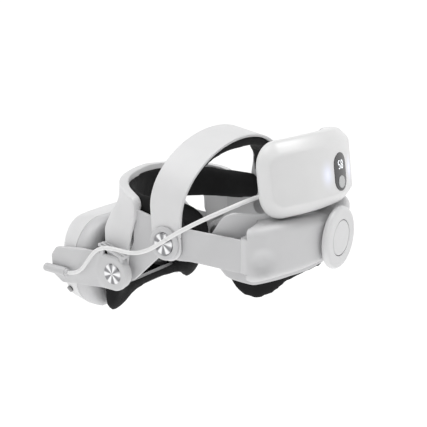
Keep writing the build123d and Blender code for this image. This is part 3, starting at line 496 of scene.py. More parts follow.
def spun_metal_with_painted_star(name, centre):
    """Disc turned on a lathe: fine rings, and six bright rays with darker ones between painted into the
    colour as the reflection of the lamps.
    """
    n = Nodes(name)
    split = n.add("ShaderNodeSeparateXYZ")
    n.link(n.where, split.inputs["Vector"])
    u = n.math("SUBTRACT", split.outputs["Y"], centre[1] * MM)
    v = n.math("SUBTRACT", split.outputs["Z"], centre[2] * MM)
    radius = n.math("SQRT", n.math("ADD", n.math("MULTIPLY", u, u), n.math("MULTIPLY", v, v)))
    angle = n.math("ARCTAN2", v, u)
    # Painted reflection: bright and dark sectors by angle round the centre, set in the base colour where spun
    # metal would reflect the lamps.
    rays = n.math("SINE", n.math("ADD", n.math("MULTIPLY", angle, 6.0), 0.9))
    uneven = n.math("SINE", n.math("ADD", n.math("MULTIPLY", angle, 17.0), 0.4))
    painted_reflection_star = n.math("ADD", n.math("MULTIPLY", rays, 0.5), n.math("MULTIPLY", uneven, 0.07))
    n.link(n.ramp(n.math("ADD", painted_reflection_star, 0.5), (0.26, 0.26, 0.27), (0.93, 0.93, 0.94), 0.18, 0.85),
           n.shader.inputs["Base Color"])
    rings = n.math("SINE", n.math("MULTIPLY", radius, 24000.0))
    n.link(n.grey_range(n.noise(500, 2), 0.26, 0.38), n.shader.inputs["Roughness"])
    n.link(n.bump(rings, 0.12, 0.00003), n.shader.inputs["Normal"])
    n.set(Metallic=0.75, Anisotropic=0.5)
    return n.material


def metal(name, colour, roughness=0.3, scale=700.0):
    n = Nodes(name)
    grain = n.noise(scale, 3)
    n.link(n.ramp(grain, tuple(c * 0.8 for c in colour), colour), n.shader.inputs["Base Color"])
    n.link(n.grey_range(grain, roughness - 0.06, roughness + 0.1), n.shader.inputs["Roughness"])
    n.link(n.bump(n.noise(2500, 2), 0.08, 0.00005), n.shader.inputs["Normal"])
    n.set(Metallic=1.0)
    return n.material


def gloss(name, colour, roughness=0.09):
    """Polished black window: faint smudges only."""
    n = Nodes(name)
    smudge = n.noise(45, 4)
    n.link(n.ramp(smudge, colour, tuple(c * 1.5 for c in colour)), n.shader.inputs["Base Color"])
    n.link(n.grey_range(smudge, roughness - 0.03, roughness + 0.06), n.shader.inputs["Roughness"])
    n.link(n.bump(n.noise(1200, 2), 0.02, 0.00003), n.shader.inputs["Normal"])
    n.set(Coat_Weight=0.6, Coat_Roughness=0.04, IOR=1.5)
    return n.material


def clear(name):
    """Moulded optical plastic."""
    n = Nodes(name)
    n.link(n.ramp(n.noise(60, 2), (0.93, 0.95, 0.96), (0.98, 0.99, 1.0)), n.shader.inputs["Base Color"])
    n.link(n.grey_range(n.noise(300, 2), 0.02, 0.06), n.shader.inputs["Roughness"])
    n.set(Transmission_Weight=0.85, IOR=1.49, Coat_Weight=0.5)
    return n.material


def circuit(name):
    n = Nodes(name)
    cells = n.add("ShaderNodeTexVoronoi", Scale=300.0)
    n.link(n.where, cells.inputs["Vector"])
    n.link(n.ramp(cells.outputs["Distance"], (0.02, 0.10, 0.05), (0.05, 0.22, 0.12)),
           n.shader.inputs["Base Color"])
    n.link(n.grey_range(cells.outputs["Distance"], 0.3, 0.5), n.shader.inputs["Roughness"])
    n.link(n.bump(cells.outputs["Distance"], 0.3, 0.0002), n.shader.inputs["Normal"])
    return n.material


def pack_plastic(name, spots):
    """Shell plastic with the soft blue-white light of indicator lamps shining through at the spots."""
    n = Nodes(name, plastic(name, (0.80, 0.80, 0.80), 0.36))
    glow = None
    for spot, stretch in spots:
        away = n.vector_math("SUBTRACT", n.where, Vector(spot) * MM)
        length = n.vector_math("LENGTH", n.vector_math("MULTIPLY", away.outputs[0], stretch).outputs[0])
        near = n.math("SUBTRACT", 1.0, n.math("MINIMUM", length.outputs["Value"], 1.0))
        near = n.math("MULTIPLY", near, near)
        glow = near if glow is None else n.math("ADD", glow, near)
    n.link(n.ramp(glow, (0, 0, 0), (0.55, 0.62, 1.0)), n.shader.inputs["Emission Color"])
    n.set(Emission_Strength=0.42)
    return n.material


WHITE = plastic("white_shell", (0.76, 0.76, 0.765), 0.38)
# Painted shade: a darker copy of the shell white, so the clip plates and the rear housing render as if in
# shade.
PAINTED_SHADE_WHITE = plastic("white_shell_painted_shade", (0.66, 0.66, 0.667), 0.45)
STRAP_WHITE = plastic("white_strap", (0.77, 0.77, 0.775), 0.5, 1.6)
# Greyer white for the trim parts; on the visor's rear shell it is painted shade, for the shadow under the
# clip.
TRIM_AND_PAINTED_SHADE_WHITE = plastic("white_trim", (0.62, 0.62, 0.628), 0.42)
JACKET = plastic("lead_jacket", (0.84, 0.84, 0.84), 0.48, 0.6)
FOAM = knit("black_foam", (0.010, 0.010, 0.0105), 3300, 0.4)
LINING = knit("black_lining", (0.010, 0.010, 0.0105), 4200, 0.3)
BLACK_GLASS = gloss("black_gloss", (0.012, 0.012, 0.014))
BUTTON = plastic("button_grey", (0.55, 0.56, 0.56), 0.35)
STEEL = metal("pin_steel", (0.62, 0.62, 0.63))
LENS = clear("clear_lens")
PANEL = gloss("display_panel", (0.02, 0.02, 0.028), 0.16)
INNER_BLACK = plastic("inner_black", (0.03, 0.03, 0.032), 0.55)
BOARD = circuit("board_green")
FOIL = metal("cell_foil", (0.6, 0.61, 0.63), 0.35, 120)
GOLD = metal("contact_gold", (0.83, 0.62, 0.26), 0.22)
SPUN = metal("brushed_cap", (0.72, 0.72, 0.73))
SLOT_MATERIALS = {
    "white_shell": WHITE, "white_strap": STRAP_WHITE, "white_trim": TRIM_AND_PAINTED_SHADE_WHITE, "lead_jacket": JACKET,
    "black_foam": FOAM, "black_lining": LINING, "black_gloss": BLACK_GLASS, "brushed_cap": SPUN,
    "button_grey": BUTTON, "pin_steel": STEEL, "clear_lens": LENS, "display_panel": PANEL,
    "inner_black": INNER_BLACK, "board_green": BOARD, "cell_foil": FOIL, "contact_gold": GOLD,
}


def dress_cad_nodes():
    """Every CAD node gets its slot's material, whether or not a finer piece replaces it."""
    slots = {part["node"]: part["material_slot"] for part in frame["record"]["subparts"]}
    for name, node in NODES.items():
        node.data.materials.clear()
        node.data.materials.append(SLOT_MATERIALS[slots[name]])
        node.data.polygons.foreach_set("use_smooth", [False] * len(node.data.polygons))


# ---------------------------------------------------------------- lead

LEAD_D = 3.8
LEAD_ROUTE = [
    (97.6, -110.5, -46), (97.6, -101, -45), (97.4, -91, -38.5), (97, -82.5, -27), (96.6, -73.5, -17),
    (96.3, -61, -12), (96, -46, -12), (95.4, -30, -12.6), (95, -14, -7.5), (95, 1, 1.8),
    (94, 18, 13.5), (91, 36, 24.5), (85.5, 52, 33.5), (76, 63, 39.5), (64.5, 69, 43), (53, 73, 45),
    (44, 80, 46.5), (37.5, 87.5, 47.5),
]
LEAD_JOIN = 9


def spline_points(points):
    """Points along the NURBS line that has these control points."""
    data = bpy.data.curves.new("lead_line", "CURVE")
    data.dimensions = "3D"
    data.resolution_u = 10
    spline = data.splines.new("NURBS")
    spline.points.add(len(points) - 1)
    for target, p in zip(spline.points, points):
        target.co = (*(Vector(p) * MM), 1)
    spline.order_u = 3
    spline.use_endpoint_u = True
    line = bpy.data.objects.new("lead_line", data)
    bpy.context.scene.collection.objects.link(line)
    bpy.context.view_layer.update()
    mesh = bpy.data.meshes.new_from_object(line)
    found = [v.co / MM for v in mesh.vertices]
    bpy.data.objects.remove(line)
    return found


def tube(name, line, radius, count=20):
    """Round tube along a line, its ends capped."""
    side = Vector((1, 0, 0))
    rings = []
    for i, here in enumerate(line):
        along = (line[min(i + 1, len(line) - 1)] - line[max(i - 1, 0)]).normalized()
        side = (side - along * side.dot(along)).normalized()
        up = along.cross(side)
        angles = [2 * pi * k / count for k in range(count)]
        rings.append([here + side * (radius * cos(a)) + up * (radius * sin(a)) for a in angles])
    return loft(name, rings)


def add_lead():
    """White USB lead from the dock round the pack's end, past the strap pivot and the buckle to its plug."""
    meeting = (Vector(LEAD_ROUTE[LEAD_JOIN]) + Vector(LEAD_ROUTE[LEAD_JOIN + 1])) / 2
    front_line = spline_points(LEAD_ROUTE[: LEAD_JOIN + 1] + [meeting])
    rear_line = spline_points([meeting] + LEAD_ROUTE[LEAD_JOIN + 1 :])
    for line in (front_line, rear_line):
        sum((q - p).length for p, q in zip(line, line[1:])) * MM

    plug = lathe("lead_plug", softened([
        (0.02, 0), (3.1, 0.1), (4.2, 1.3), (4.25, 12), (4.2, 25.2), (3.5, 27.6), (3.45, 28.6), (3.25, 28.7),
        (3.2, 30.3), (2.6, 30.6), (2.1, 31.0), (0.02, 31.0),
    ], 0.7), (97.6, -141, -46), (0, 1, 0), 40)
    finish_piece(plug, TRIM_AND_PAINTED_SHADE_WHITE, "visor")
    collar = lathe("lead_collar", softened([(2.0, 0), (3.55, 0), (3.6, 1.0), (3.55, 2.0), (2.0, 2.0)], 0.4),
                   (97.6, -115.4, -46), (0, 1, 0), 40)
    finish_piece(collar, BUTTON, "visor")

    front = tube("lead_front_run", front_line, LEAD_D / 2)
    finish_piece(front, JACKET, replaces=["lead_front"])
    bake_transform(front)
    rear = tube("lead_rear_run", rear_line, LEAD_D / 2)
    finish_piece(rear, JACKET, replaces=["lead_rear"])
    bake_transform(rear)

    Vector(LEAD_ROUTE[-1]) * MM


# ---------------------------------------------------------------- visor

VISOR_HALF = 88.0
VISOR_MID = -45.0
VISOR_TALL = 46.0
VISOR_CORNER = 36.0
SPLIT_Y = -110.0
FRONT_REACH = 42.0


def visor_place(u, v, depth):
    """Front shell: depth runs forward from the split, and the face is bowed in plan."""
    share = depth / FRONT_REACH
    narrow = 1 - 0.067 * share
    bow = 20.0 * (u / 100.0) ** 2
    return Vector((u * narrow, SPLIT_Y - share * (FRONT_REACH - bow), VISOR_MID + v * narrow))


def add_visor():
    outline = rounded([(VISOR_HALF, VISOR_TALL), (-VISOR_HALF, VISOR_TALL), (-VISOR_HALF, -VISOR_TALL),
                       (VISOR_HALF, -VISOR_TALL)], VISOR_CORNER)
    inner = [(-18, FRONT_REACH - 2.2), (-6, FRONT_REACH - 4), (-2.6, 20), (-2.4, 0.5), (-2.0, 0.1)]
    outer = rim(0.1, FRONT_REACH, 0.5, 16, 18)
    front = slab("visor_front", outline, visor_place, inner + outer[1:], 5.0)
    finish_piece(front, WHITE, "visor", ["visor_front_shell"])

    rings = []
    for half_w, half_h, radius, y in (
        (87.6, 45.6, 36, -109.75), (88, 46, 36, -109.2), (88, 46, 36, -101), (87.6, 45.6, 35.8, -98.6),
        (86.5, 44.5, 35, -96.6), (84.6, 42.6, 33.6, -95.2), (82.2, 40.2, 32, -94.6),
        (68.6, 34.6, 33.6, -94.6), (68.0, 34.0, 33.0, -95.2), (68.0, 34.0, 33.0, -96.8),
        (85.2, 43.2, 33.4, -97.4), (85.8, 43.8, 33.8, -98.2), (85.8, 43.8, 33.8, -109.8),
    ):
        notch = smooth(-109.4, -99, y) if half_h > 40 else 0
        ring = rounded_box_ring(half_w, half_h, radius)
        rings.append([(u, y, VISOR_MID + v + notch * nose_lift(u, v)) for u, v in ring])
    rear = loft("visor_rear", rings, closed=True)
    # Painted shade: the rear shell takes the greyer trim white for the shadow under the clip.
    finish_piece(rear, TRIM_AND_PAINTED_SHADE_WHITE, "visor", ["visor_rear_shell"])

    screws = []
    for side in (-1, 1):
        for up in (-1, 1):
            profile = softened([(0.4, 0), (2.6, 0), (2.6, 1.6), (1.2, 2.2), (1.2, 22), (0.4, 22)], 0.2)
            screws.append(lathe("screw", profile, (side * 71.5, -98.5, VISOR_MID + up * 33), (0, -1, 0), 32))
    finish_piece(joined("shell_screws", screws), STEEL, "visor", ["visor_screws"])

    gasket_rings = []
    for inset, y in ((0.55, -110.15), (0.45, -109.85), (2.0, -109.85), (2.0, -110.15)):
        ring = rounded_box_ring(VISOR_HALF - inset, VISOR_TALL - inset, VISOR_CORNER - inset)
        gasket_rings.append([(u, y, VISOR_MID + v) for u, v in ring])
    seam = loft("visor_seam", gasket_rings, closed=True)
    finish_piece(seam, BUTTON, "visor")


def add_face_frame():
    """Black frame that carries the foam, and slides in the visor's opening."""
    rings = []
    for half_w, half_h, radius, y in (
        (70, 42, 36, -91.4), (70, 42, 36, -89.4), (69.5, 41.5, 35.5, -89.0), (61.5, 31.5, 30.5, -89.0),
        (61, 31, 30, -89.4), (65, 31, 30, -104), (67, 33, 32, -104), (67, 33, 32, -91.6),
    ):
        ring = rounded_box_ring(half_w, half_h, radius)
        rings.append([(u, y, VISOR_MID + v + (nose_lift(u, v) if half_h > 34 else 0)) for u, v in ring])
    piece = loft("face_rim", rings, closed=True)
    finish_piece(piece, INNER_BLACK, "face", ["face_frame"])


FACE_CY = 27.4
FACE_R = 112.0
FACE_SIDE = [(-97, -93), (-92, -86), (-88, -81), (-81, -77), (-69, -73), (-58, -65), (-48, -60), (-28, -57),
             (-9, -64), (1, -78), (6, -84)]


def nose_lift(u, v):
    """How far the lower edge of the foam and its frame rises between the cheeks."""
    return 14.5 * (1 - smooth(40, 62, abs(u))) * smooth(8, 30, -v)


def foam_crest(x, z):
    """How far back the foam reaches: the curve of a face, falling away at brow and chin."""
    curve = FACE_CY - sqrt(FACE_R**2 - min(abs(x), 100) ** 2)
    profile = FACE_SIDE[0][1] if z < FACE_SIDE[0][0] else FACE_SIDE[-1][1]
    for (z0, y0), (z1, y1) in zip(FACE_SIDE, FACE_SIDE[1:]):
        if z0 <= z <= z1:
            profile = y0 + (y1 - y0) * (z - z0) / (z1 - z0)
    blur = 2.2
    return -blur * log(exp(-curve / blur) + exp(-profile / blur))


def add_face_foam():
    rings = []
    outer_ring = rounded_box_ring(72, 47, 39, low_radius=17)
    inner_ring = rounded_box_ring(62, 31, 30)
    for share, lift in (
        (0.0, 0.0), (0.0, 0.35), (0.0, 0.72), (0.07, 0.90), (0.24, 0.99), (0.5, 1.0), (0.76, 0.97),
        (0.93, 0.86), (1.0, 0.66), (1.0, 0.3), (1.0, 0.0), (0.5, 0.0),
    ):
        ring = []
        for (ou, ov), (iu, iv) in zip(outer_ring, inner_ring):
            u = ou + (iu - ou) * share
            v = ov + (iv - ov) * share - 1.5
            v += nose_lift(u, v) * (1 - 0.4 * share)
            z = VISOR_MID + v
            base = -88.6
            crest = max(base + 3, foam_crest(u, z))
            ring.append((u, base + (crest - base) * lift, z))
        rings.append(ring)
    piece = loft("face_cushion", rings, closed=True)
    swell(piece, 1.4, 3.2)
    finish_piece(piece, FOAM, "face", ["face_foam"])


# ---------------------------------------------------------------- clips, pivots, buckle

PIVOT = (0, -57, -38)


def clip_surface(y, z):
    """How far the outer face is sunk: a slanted step behind the plug, and full height at the lobe."""
    from_pivot = sqrt((y - PIVOT[1]) ** 2 + (z - PIVOT[2]) ** 2)
    slanted = y - 0.55 * (z + 42)
    return 2.9 * smooth(-106, -98, slanted) * smooth(16, 26, from_pivot)


def add_clips():
    points = [(-138, -34, 5), (-131, -25, 5), (-97, -21, 8), (-72, -21.6, 8), (-50, -21.4, 14),
              (-40.8, -31, 14), (-40.8, -45, 14), (-50, -54.4, 14), (-64, -54.6, 14), (-90, -57.5, 20),
              (-124, -60.5, 6), (-137, -53, 6)]
    outline = rounded(points, 5)
    for side, label in SIDES:
        def place(y, z, depth, side=side):
            sunk = clip_surface(y, z) * (1 - depth / 4.6)
            return Vector((side * (93 - sunk - depth), y, z))

        plate = slab("clip_plate", outline, place, rim(0, 4.6, 1.6, 0.5, 2.2), 2.6)
        boss = lathe("clip_boss", softened([(4.3, 0), (15.1, 0), (15.8, 0.7), (15.8, 5.4), (4.3, 5.4)], 0.7),
                     (side * 83.4, PIVOT[1], PIVOT[2]), (side, 0, 0))
        piece = joined(f"front_arm_{label}", [plate, boss])
        # The clip plate takes the darker white, painted shade.
        finish_piece(piece, PAINTED_SHADE_WHITE, "visor", [f"front_clip_{label}"])
        add_cap(f"visor_hub_{label}", (side * 93, PIVOT[1], PIVOT[2]), side, 10.0, "visor")
    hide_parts("visor_pivot_caps")


def add_cap(name, centre, side, radius, body):
    """Lathe-turned metal cap standing a little out of its seat."""
    profile = softened([
        (0.05, 0.75), (radius * 0.55, 0.95), (radius - 1.1, 1.1), (radius - 0.2, 0.55), (radius, -0.4),
        (radius, -1.4),
    ], 0.35)
    piece = lathe(name, profile, centre, (side, 0, 0), 96)
    finish_piece(piece, spun_metal_with_painted_star(name, centre), body)


def add_strap_pivots():
    for side, label in SIDES:
        collar = lathe(f"pivot_collar_{label}", softened([
            (4.2, 0), (14.9, 0), (15.4, 0.5), (15.2, 2.4), (14.0, 3.1), (11.6, 3.2), (10.3, 2.6), (10.2, 1.3),
            (4.2, 1.2),
        ], 0.5), (side * 85.3, 0, 0), (side, 0, 0))
        finish_piece(collar, TRIM_AND_PAINTED_SHADE_WHITE, "frame")
        add_cap(f"strap_hub_{label}", (side * 88.0, 0, 0), side, 10.0, "frame")
    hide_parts("strap_collars")
    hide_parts("strap_pivot_caps")


def add_brackets():
    """Temple plates that join the two pivots on each side."""
    points = [(-43, 24, 3), (-14, 18, 4), (4, 15.5, 10), (15.5, 6, 10), (15.5, -6, 10), (4, -15.6, 10),
              (-12, -16, 8), (-44, -46, 10), (-57, -50.3, 12), (-69.2, -40, 10), (-66, -28, 8), (-48, -18, 6),
              (-43, -8, 8)]
    outline = rounded(points, 4)
    for side, label in SIDES:
        def place(y, z, depth, side=side):
            return Vector((side * (78.4 - depth), y, z))

        piece = slab(f"temple_{label}", outline, place, rim(0, 3.0, 1.0, 0.6), 4.0)
        finish_piece(piece, TRIM_AND_PAINTED_SHADE_WHITE, "frame", [f"side_bracket_{label}"])


def add_buckle():
    """Two-bar cable clip on the left arm."""
    tilt = radians(15)
    across = Vector((1, 0, 0))
    along = Vector((0, cos(tilt), -sin(tilt)))
    up = Vector((0, sin(tilt), cos(tilt)))
    origin = Vector((88.9, -58.5, -17.6))

    def place(u, v, w):
        return origin + along * u + across * v + up * w

    rings = []
    for half_u, half_v, radius, w in (
        (16.5, 5.1, 2.2, 0.5), (16.5, 5.1, 2.2, 1.9), (16.0, 4.6, 1.9, 2.4), (14.6, 3.8, 1.3, 2.4),
        (14.3, 3.5, 1.2, 2.0), (14.3, 3.5, 1.2, 0.4), (14.6, 3.8, 1.3, 0.0), (16.0, 4.6, 1.9, 0.0),
    ):
        rings.append([place(u, v, w) for u, v in rounded_box_ring(half_u, half_v, radius, 5)])
    frame_ring = loft("buckle_frame", rings, closed=True)
    bar = slab("buckle_bar", rounded([(15, 1.1), (-15, 1.1), (-15, -1.1), (15, -1.1)], 0.6, 1.5), place,
               rim(0.0, 2.4, 0.4, 0.4, 0.5, 3), 5.0)
    posts = []
    for y0, y1, z0, z1 in ((-73, -69, -23, -13.6), (-50, -46, -26, -19.8)):
        post = rounded([(88.8, y0), (92.2, y0), (92.2, y1), (88.8, y1)], 0.8, 1.2)
        ends = rim(z0, z1, 0.3, 0.3, 0.4, 3)
        posts.append(slab("buckle_post", post, lambda x, y, z: Vector((x, y, z)), ends, 4.0))
    piece = joined("cable_clip", [frame_ring, bar, *posts])
    finish_piece(piece, TRIM_AND_PAINTED_SHADE_WHITE, "visor", ["cable_buckle"])


# ---------------------------------------------------------------- forehead band and pad

BROW_CY = -30.0
BROW_A = 82.3
BROW_B = 68.0


def brow_angle(y):
    """Angle round the brow, 90 at the temple, at a place y on the near side."""
    return degrees(pi / 2 - asin(min(1, max(-1, (BROW_CY - y) / BROW_B))))


def brow_place(a, z, depth):
    """Band surface: the leg is flat, and the ring above it follows the forehead."""
    side = 1 if a > 0 else -1
    t = radians(a)
    n = Vector((sin(t) / BROW_A, -cos(t) / BROW_B)).normalized()
    x = BROW_A * sin(t)
    y = BROW_CY - BROW_B * cos(t)
    flat = (1 - smooth(-2, 30, z)) * smooth(36, 50, abs(a))
    lean = 0.10 * max(0.0, z - 14) * cos(t)
    here = Vector((x + (side * BROW_A - x) * flat, y + lean, 0))
    normal = n.lerp(Vector((side, 0)), flat).normalized()
    return Vector((here.x - normal.x * depth, here.y - normal.y * depth, z))


BROW_SCALE = 1.32


def pad_track():
    """Plan line of the forehead pad's back, from the near temple round the brow to the far one."""
    wing = [(73.0, 3.0 - 3.0 * k) for k in range(11)]
    brow = [(73.0 * cos(radians(a)), BROW_CY - 64.6 * sin(radians(a))) for a in range(0, 181, 3)]
    return Track(wing + brow + [(-x, y) for x, y in reversed(wing)], sign=-1)


PAD_TRACK = pad_track()


def add_forehead():
    """White band from one visor pivot over the brow to the other, and its black pad."""
    side = [
        (-84, 10.5, 20), (-76, 2, 8), (-75.5, -14, 12), (-70, -34, 10), (-68, -49, 12), (-48.5, -49, 12),
        (-48, -32, 12), (-46, -12, 20), (-38.5, 14, 16), (-37, 33, 10), (-52, 37.5, 25), (-80, 43.5, 30),
    ]
    stretched = [(brow_angle(y) * BROW_SCALE, z, radius) for y, z, radius in side]
    outline = rounded(both_halves([(0, 14.5, 20), *stretched, (0, 47, 40)]), 8, 2.0)

    def band_place(u, v, depth):
        return brow_place(u / BROW_SCALE, v, depth * (1 + 1.9 * smooth(10, 26, v)))

    band = slab("forehead_shell", outline, band_place, rim(0, 3.0, 1.3, 1.0), 3.0)
    finish_piece(band, STRAP_WHITE, "forehead", ["forehead_band"])

    wing = PAD_TRACK.where(lambda p: p.y <= 2)
    ear = PAD_TRACK.where(lambda p: p.y <= -34)
    pad_half = [(0, 6, 40), (ear, 4.5, 40), (wing, 9.5, 8), (wing, 34.5, 9), (ear, 36.5, 40), (0, 42, 40)]
    pad_outline = rounded(both_halves(pad_half), 8, 3.0)

    def pad_place(u, v, depth):
        p, n = PAD_TRACK.at(u)
        lean = 0.10 * max(0.0, v - 14) * max(0.0, -n.y)
        return Vector((p.x - n.x * depth, p.y - n.y * depth + lean, v))

    pad = slab("forehead_cushion", pad_outline, pad_place, rim(7.6, 0.4, 3.4, 0.8, 3.6), 4.0)
    swell(pad, 1.4, 3.4)
    finish_piece(pad, FOAM, "forehead", ["forehead_pad"])


# ---------------------------------------------------------------- top strap and lining

LEAN = radians(11)
ARCH_HALF, ARCH_LEG, ARCH_RISE, ARCH_SHIFT = 85.0, 36.0, 56.0, -6.0


def arch_track():
    left = [(ARCH_HALF, ARCH_LEG - 70 + 2.0 * k) for k in range(35)]
    over = []
    for k in range(121):
        a = pi * k / 120
        over.append((ARCH_HALF * cos(a), ARCH_LEG + ARCH_RISE * sin(a)))
    return Track(left + over + [(-x, z) for x, z in reversed(left)])


ARCH = arch_track()


def arch_place(s, w, depth):
    (h, v), n = ARCH.at(s)
    h -= n.x * depth
    v -= n.y * depth
    return Vector((h, ARCH_SHIFT + v * sin(LEAN) + w * cos(LEAN), v * cos(LEAN) - w * sin(LEAN)))


def arch_point(y, z, radius):
    """Flat-outline point for a side-view point on the leg."""
    v = (y - ARCH_SHIFT) * sin(LEAN) + z * cos(LEAN)
    w = (y - ARCH_SHIFT) * cos(LEAN) - z * sin(LEAN)
    return (ARCH.half - (v - (ARCH_LEG - 70)), w, radius)


def add_top_strap():
    leg_top = arch_point(0, 30, 1)[0]
    half = [
        (0, -17.5, 60), (leg_top, -17.5, 40), arch_point(-15.6, 6, 20), arch_point(-16.2, -9, 12),
        arch_point(-7, -16.2, 12), arch_point(7, -16.2, 12), arch_point(16.2, -9, 12),
        arch_point(15.8, 8, 20),
        (leg_top, 17.5, 40), (0, 17.5, 60),
    ]
    outline = rounded(both_halves(half), 12, 2.4)
    strap = slab("top_strap_shell", outline, arch_place, rim(0, 2.8, 1.2, 0.8), 3.2)
    finish_piece(strap, STRAP_WHITE, "crown", ["top_strap"])

    end = ARCH.half - (32 - (ARCH_LEG - 70))
    points = [(end, -15.8), (end, 15.8), (-end, 15.8), (-end, -15.8)]

    def lining_place(s, w, depth):
        """The lining swells from a thin edge at the temples to a thick pad at the crown."""
        swollen = 1 - abs(s) / (1.08 * end)
        return arch_place(s, w, 2.85 + (depth - 2.85) * (1 + 3.3 * swollen))

    lining = slab("top_strap_pad", rounded(points, 7, 2.4), lining_place, rim(5.4, 2.85, 1.6, 0.2), 3.6)
    swell(lining, 0.8, 3.0)
    finish_piece(lining, LINING, "crown", ["top_strap_lining"])


# ---------------------------------------------------------------- rear ring

SIDE_X, CORNER_X, CORNER_Y, BACK_R = 84.0, 60.0, 79.0, 130.0
CORNER_R = SIDE_X - CORNER_X
BACK_CY = CORNER_Y - sqrt((BACK_R - CORNER_R) ** 2 - CORNER_X**2)
BACK_TURN = degrees(pi / 2 - asin(CORNER_X / (BACK_R - CORNER_R)))
NAPE_CY, NAPE_R = 30.0, 76.0


def wrap_track(inset, y_start):
    """Plan line of the housing, moved inward, from the near mouth round the back to the far one."""
    side = [(SIDE_X - inset, y_start + (CORNER_Y - y_start) * k / 12) for k in range(12)]
    corner = arc(CORNER_X, CORNER_Y, CORNER_R - inset, 0, BACK_TURN, 24)
    back = arc(0, BACK_CY, BACK_R - inset, BACK_TURN, 180 - BACK_TURN, 60)
    half = side + corner
    return Track(half + back[1:-1] + [(-x, y) for x, y in reversed(half)])


WRAP = wrap_track(0, 60)


def wrap_depth(p, n):
    """Distance from the housing's skin in to the nape cylinder."""
    d = p - Vector((0, NAPE_CY))
    b = d.dot(n)
    inside = b * b - (d.length_squared - (NAPE_R + 0.4) ** 2)
    return b - sqrt(inside) if inside > 0 else 14.0


def add_housing():
    """Shell that closes round the cradle and takes in the side straps, with a shallow thumb dimple."""
    mouth = WRAP.where(lambda p: p.y >= 75)
    flare = WRAP.where(lambda p: p.y >= 86)
    turned = WRAP.where(lambda p: p.x < 62)
    half = [(0, -12.5, 40), (turned, -17.5, 30), (flare, -21.5, 9), (mouth, -19.5, 9), (mouth, 23, 9),
            (flare, 26, 12), (turned, 28.5, 30), (0, 28.5, 40)]
    outline = rounded(both_halves(half), 8, 2.0)
    dimple = WRAP.where(lambda p: p.y >= 95)

    def place(s, z, depth):
        p, n = WRAP.at(s)
        away = sqrt((abs(s) - dimple) ** 2 + (z + 2.5) ** 2)
        if depth <= 8:
            depth *= 1 - 0.5 * smooth(mouth - 8, mouth, abs(s))
            depth += 3.6 * (1 - smooth(4, 13.5, away))
        depth = min(depth, max(2.5, wrap_depth(p, n)))
        return Vector((p.x - n.x * depth, p.y - n.y * depth, z))

    shell = slab("rear_shell", outline, place, rim(0, 40, 8.0, 0.5, 8.2, 9), 2.4)
    # The housing takes the darker white, painted shade.
    finish_piece(shell, PAINTED_SHADE_WHITE, "rear", ["rear_housing"])

    for side, label in SIDES:
        points = [(0, -15.2, 10), (12, -15.4, 10), (24, -14, 8), (82, -14, 2), (82, 15, 2), (20, 15, 8),
                  (0, 15.9, 12), (-13, 9.5, 11), (-16, 0, 11), (-13, -9.5, 11)]

        def strap_place(y, z, depth, side=side):
            x = 81.1 - depth
            if y > CORNER_Y:
                x -= (y - CORNER_Y) ** 2 / 42
            return Vector((side * x, y, z))

        outline = rounded(points, 6, 2.5)
        strap = slab(f"side_strap_band_{label}", outline, strap_place, rim(0, 2.5, 0.9, 0.9), 5.0)
        finish_piece(strap, TRIM_AND_PAINTED_SHADE_WHITE, replaces=[f"side_strap_{label}"])
        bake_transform(strap)


def nape_place(u, z, depth, radius):
    """u is length round the nape cylinder from the middle of the back."""
    a = u / NAPE_R
    r = radius - depth
    return Vector((r * sin(a), NAPE_CY + r * cos(a), z))


def nape_at(y):
    """Length round the nape cylinder at which it reaches y."""
    return NAPE_R * (pi / 2 - asin((y - NAPE_CY) / NAPE_R))


def add_cradle():
    side = [(98, -25.5, 30), (76, -31, 14), (56, -25, 16), (42, -8, 14), (41.5, 12, 10), (52, 29, 14),
            (60, 33, 10), (75, 32.5, 20)]
    half = [(0, -23.5, 30), *((nape_at(y), z, radius) for y, z, radius in side), (0, 31, 40)]
    outline = rounded(both_halves(half), 10, 2.4)

    def place(u, z, depth):
        return nape_place(u, z, depth, NAPE_R)

    cradle = slab("nape_cradle", outline, place, rim(0, 3.0, 1.3, 0.8), 3.6)
    finish_piece(cradle, TRIM_AND_PAINTED_SHADE_WHITE, "rear", ["rear_cradle"])

    side = [(98, -32, 20), (88, -43, 14), (78, -45.5, 12), (66, -40, 16), (53, -22, 18), (47.5, 2, 14),
            (52, 20, 12), (62, 26.5, 12)]
    half = [(0, -28, 30), *((nape_at(y), z, radius) for y, z, radius in side), (0, 26, 40)]
    outline = rounded(both_halves(half), 10, 3.0)

    def pad_place(u, z, depth):
        return nape_place(u, z, depth, NAPE_R - 3.3)

    pad = slab("nape_cushion", outline, pad_place, rim(10.2, 0.2, 4.2, 1.0, 4.4), 4.0)
    swell(pad, 1.8, 3.4)
    finish_piece(pad, FOAM, "rear", ["rear_pad"])


def add_dial():
    """Fit dial: a broad soft-edged knob with a thin dark groove round its cap."""
    seat = (0, 122.1, 6)
    backward = (0, 1, 0)
    knob = lathe("dial_knob", softened([
        (4.0, 0), (25.8, 0), (27.2, 0.4), (28.0, 1.6), (28.0, 3.6), (26.6, 5.6), (24.0, 6.3), (17.0, 6.0),
        (16.3, 5.9), (16.3, 4.4), (4.0, 4.4),
    ], 0.8), seat, backward, 120)
    finish_piece(knob, WHITE, "dial", ["fit_dial"])
    cap = lathe("dial_centre", softened([
        (0.02, 6.1), (10, 6.25), (14.9, 6.0), (15.7, 5.5), (15.7, 4.5), (0.02, 4.5),
    ], 0.4), seat, backward, 96)
    finish_piece(cap, WHITE, "dial", ["dial_cap"])
    ring = [(15.2, 4.42), (16.35, 4.42), (16.35, 5.2), (15.2, 5.2)]
    groove = lathe("dial_groove", ring, seat, backward, 96)
    finish_piece(groove, INNER_BLACK, "dial")
    neck = lathe("dial_neck", softened([(4.2, -9.5), (17.5, -9.5), (17.0, -0.3), (4.2, -0.3)], 0.5),
                 (0, 122.0, 6), backward, 72)
    finish_piece(neck, WHITE, "rear")


